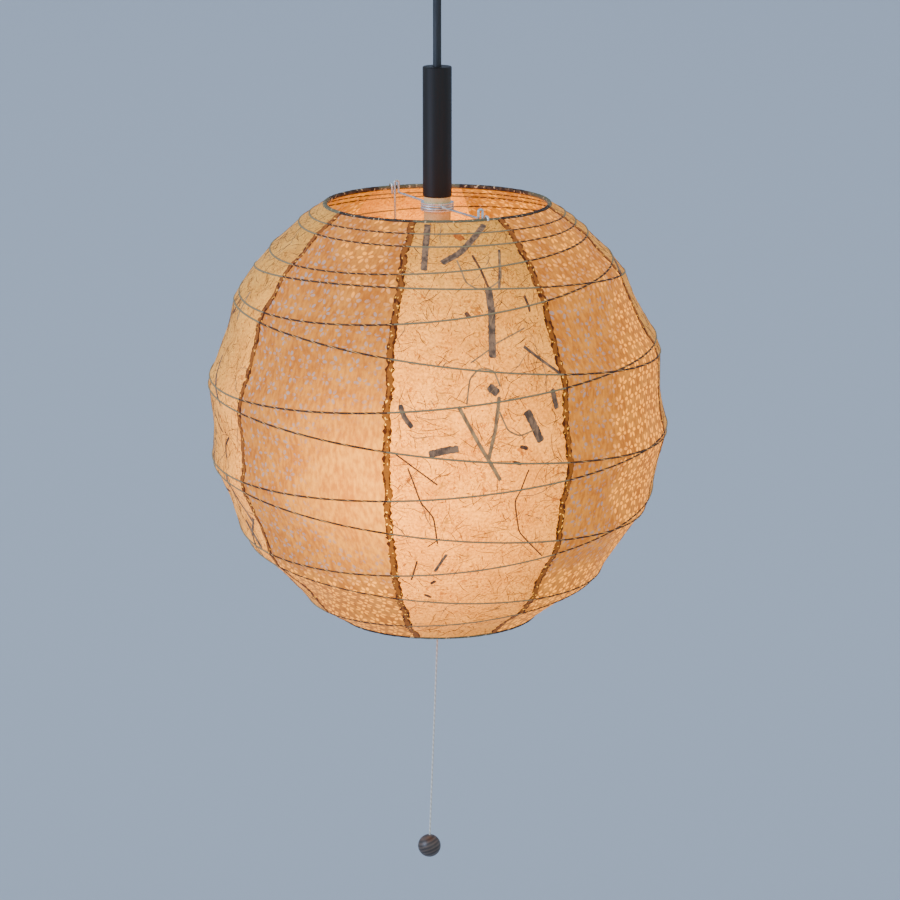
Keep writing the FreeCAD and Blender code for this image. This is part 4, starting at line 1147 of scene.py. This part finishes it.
# scraps: places along the middle as (azimuth, height over the globe's middle in mm), width in mm
frontScraps = [
    ([(-4.5, 165), (-4.6, 151), (-4.6, 136)], 5.0, "slate"),
    ([(1.5, 141), (9, 148), (16, 157), (22.5, 164)], 5.0, "slate"),
    ([(7.5, 159), (10.5, 155.5)], 5.5, "orange"),
    ([(13, 146), (15, 134), (16, 124)], 1.8, "brown"),
    ([(16, 124), (15.6, 107), (14.3, 76)], 5.8, "slate"),
    ([(7, 143), (9, 128), (12.3, 123), (17, 124), (21, 129), (23.5, 146)], 1.3, "dust"),
    ([(24, 148), (21.4, 135), (19.4, 123)], 2.2, "slate"),
    ([(27, 117), (27.4, 106)], 2.0, "brown"),
    ([(8, 108), (9.2, 104)], 3.4, "brown"),
    ([(23.5, 83), (27, 74), (30.5, 65), (32.8, 58)], 2.4, "slate"),
    ([(15.5, 86), (20, 91), (25, 96)], 1.2, "dust"),
    ([(8.4, 73), (13.6, 82)], 1.2, "dust"),
    ([(22, 36), (24, 23), (25.6, 11)], 6.4, "slate"),
    ([(29, 50), (30.4, 35)], 4.2, "slate"),
    ([(-9, 43), (-8, 34), (-6, 26)], 4.0, "slate"),
    ([(-2, 6), (2, 9), (5, 10)], 5.6, "slate"),
    ([(5, 42), (10, 12), (15, -16)], 3.0, "dust"),
    ([(15, 48), (14, 24), (12, 1)], 3.0, "dust"),
    ([(15, 37), (17, 22), (20, 17), (24, 21)], 1.3, "dust"),
    ([(22, -9), (19, -34), (21, -61), (29, -84)], 1.1, "brown"),
    ([(-9.9, 6), (-5, -6), (0, -18)], 1.2, "brown"),
    ([(-7, -5), (-4, -32), (-1, -45), (0, -67)], 1.2, "brown"),
    ([(20, 9), (22, 7)], 3.0, "brown"),
    ([(18, -2), (20, -4)], 2.6, "brown"),
    ([(-0.8, -92), (2.4, -77)], 2.4, "slate"),
    ([(-7.5, -101), (-5.5, -84)], 1.4, "brown"),
    ([(-2.5, -70), (0.5, -62)], 1.0, "brown"),
    ([(-2, -104), (-0.6, -101)], 2.6, "brown"),
    ([(-4, -115), (-2, -118)], 2.4, "brown"),
    ([(7, 43), (8, 62), (10.6, 69), (14.2, 67), (15.5, 55)], 1.3, "dust"),
    ([(12.6, 56), (14.8, 50)], 6.4, "slate"),
]
leftScraps = [
    ([(282, 52), (284, 36), (292, 18)], 3.0, "slate"),
    ([(283, 5), (291, -5)], 1.6, "brown"),
    ([(281, -9), (284, -12)], 2.5, "slate"),
]
otherScraps = {"count": 16, "seed": 5, "aside": 16, "rise": (-125, 140), "reach": (3, 26),
               "bend": 0.5, "width": (1.0, 5.0), "tones": ("slate", "dust", "brown", "slate")}


def toneFinish(name, dark, light):
    # soaked bark pressed flat: matt, streaky along its length, lit a little from behind
    material, tree, shader, place = newFinish(name)
    streak = grain(tree, place, 3.5, (1, 1, 2.5), detail=2.0)
    colour = blotched(tree, dark, light, streak, 0.35, 0.65, 1.0)
    feed(tree, shader, {
        "Base Color": colour, "Emission Color": colour, "Emission Strength": 0.6, "Roughness": 0.8,
        "Normal": addNode(tree, "ShaderNodeBump", {"Height": streak, "Distance": 0.08 * millimetre}),
    })
    return material


def wrapped(piece, middle):
    # from the flat cut (across, along, lift) to the panel whose middle stands at this azimuth
    mesh = piece.data
    flat = np.empty(len(mesh.vertices) * 3)
    mesh.vertices.foreach_get("co", flat)
    flat = flat.reshape(-1, 3)
    s = np.clip(flat[:, 1], cut["clearEnds"], meridian - cut["clearEnds"])
    radius = outline(s)[0]
    edge = math.pi / globe["panels"] * radius - cut["clearSide"]
    across = np.clip(flat[:, 0], -edge, edge)
    places = onPaper(middle + np.degrees(across / radius), s, flat[:, 2])
    mesh.vertices.foreach_set("co", places.ravel())
    mesh.update()


def flatCut(name):
    # the panel as cut from the sheet, a little inside its seams
    s = np.linspace(cut["ends"], meridian - cut["ends"], cut["rows"])
    half = math.pi / globe["panels"] * outline(s)[0] - cut["margin"]
    places = [(side * w, along, 0) for w, along in zip(half, s) for side in (-1, 1)]
    faces = [(2 * k, 2 * k + 1, 2 * k + 3, 2 * k + 2) for k in range(len(s) - 1)]
    mesh = bpy.data.meshes.new(name)
    mesh.from_pydata(places, [], faces)
    return mesh


def scrapParts(path, width, middle, seed):
    # a strip with a torn outline, flat, as a thin closed solid
    azimuth = np.array([p[0] for p in path], float)
    s = alongAt(np.array([p[1] for p in path]) * millimetre)
    across = np.radians(azimuth - middle) * outline(s)[0]
    corners = np.stack([across, s], axis=-1)
    lengths = np.concatenate([[0], np.cumsum(np.linalg.norm(np.diff(corners, axis=0), axis=1))])
    count = max(5, int(lengths[-1] / bark["step"]))
    at = np.linspace(0, lengths[-1], count)
    line = np.stack([np.interp(at, lengths, corners[:, k]) for k in (0, 1)], axis=-1)
    if len(path) > 2:
        for turn in range(bark["roundings"]):
            line[1:-1] = (line[:-2] + 2 * line[1:-1] + line[2:]) / 4
    way = np.gradient(line, axis=0)
    way /= np.linalg.norm(way, axis=1)[:, None]
    normal = np.stack([-way[:, 1], way[:, 0]], axis=-1)
    width = width * millimetre
    half = width / 2 * np.minimum(1, bark["blunt"] + 2.2 * np.minimum(at, lengths[-1] - at) / width)
    torn = [1 + bark["ragged"] * 2 * alongNoise(at, bark["raggedSize"], seed + side) for side in (0, 5)]
    left = line + normal * (half * torn[0])[:, None]
    right = line - normal * (half * torn[1])[:, None]
    places, faces = [], []
    for a, b in zip(left, right):
        places += [(a[0], a[1], bark["bottom"]), (a[0], a[1], bark["top"]),
                   (b[0], b[1], bark["top"]), (b[0], b[1], bark["bottom"])]
    for k in range(count - 1):
        base = 4 * k
        for j in range(4):
            faces.append((base + j, base + 4 + j, base + 4 + (j + 1) % 4, base + (j + 1) % 4))
    faces.append((0, 1, 2, 3))
    last = 4 * (count - 1)
    faces.append((last + 3, last + 2, last + 1, last))
    return places, faces


def scrapMesh(name, scraps, middle, finish, seed):
    places, faces, kinds = [], [], []
    order = list(tones)
    for number, (path, width, tone) in enumerate(scraps):
        base = len(places)
        more, quads = scrapParts(path, width, middle, seed + 7 * number)
        places += more
        faces += [tuple(base + v for v in quad) for quad in quads]
        kinds += [order.index(tone)] * len(quads)
    mesh = bpy.data.meshes.new(name)
    mesh.from_pydata(places, [], faces)
    for tone in order:
        mesh.materials.append(finish[tone])
    mesh.polygons.foreach_set("material_index", np.array(kinds, dtype=np.int32))
    return mesh


def randomScraps(draw, middle):
    look = otherScraps
    scraps = []
    for number in range(look["count"]):
        azimuth = middle + draw.uniform(-look["aside"], look["aside"])
        rise = draw.uniform(*look["rise"])
        turn = draw.uniform(0, math.pi)
        reach = draw.uniform(*look["reach"])
        bend = draw.uniform(-look["bend"], look["bend"])
        path = []
        for t in (-1, 0, 1):
            aside = t * reach * math.cos(turn + t * bend) * millimetre / globe["radius"]
            path.append((azimuth + math.degrees(aside), rise + t * reach * math.sin(turn + t * bend)))
        tone = look["tones"][number % len(look["tones"])]
        scraps.append((path, draw.uniform(*look["width"]), tone))
    return scraps


def makeFibres():
    finish = {tone: toneFinish("bark " + tone, *colours) for tone, colours in tones.items()}
    draw = np.random.default_rng(otherScraps["seed"])
    known = [frontScraps, [], [], leftScraps]
    for number in range(globe["panels"] // 2):
        middle = seamAt(2 * number + 0.5)
        pieces = []
        for kind, look in fibreKinds.items():
            name = "%s_fibres_%d" % (kind, number + 1)
            pieces.append(grown(name, flatCut(name), strewnFibres,
                                {"Density": float(look["density"]), "Longest": look["longest"],
                                 "Radius": look["radius"], "Bend": look["bend"],
                                 "Seed": 3 * number + len(look["tone"]),
                                 "Material": finish[look["tone"]]}))
        scraps = known[number] + (randomScraps(draw, middle) if number else [])
        mesh = scrapMesh("bark_scraps_%d" % (number + 1), scraps, middle, finish, 31 * number)
        pieces.append(linked(bpy.data.objects.new(mesh.name, mesh)))
        for piece in pieces:
            wrapped(piece, middle)
            folds(piece)


makeFibres()
print("fibres and bark laid")
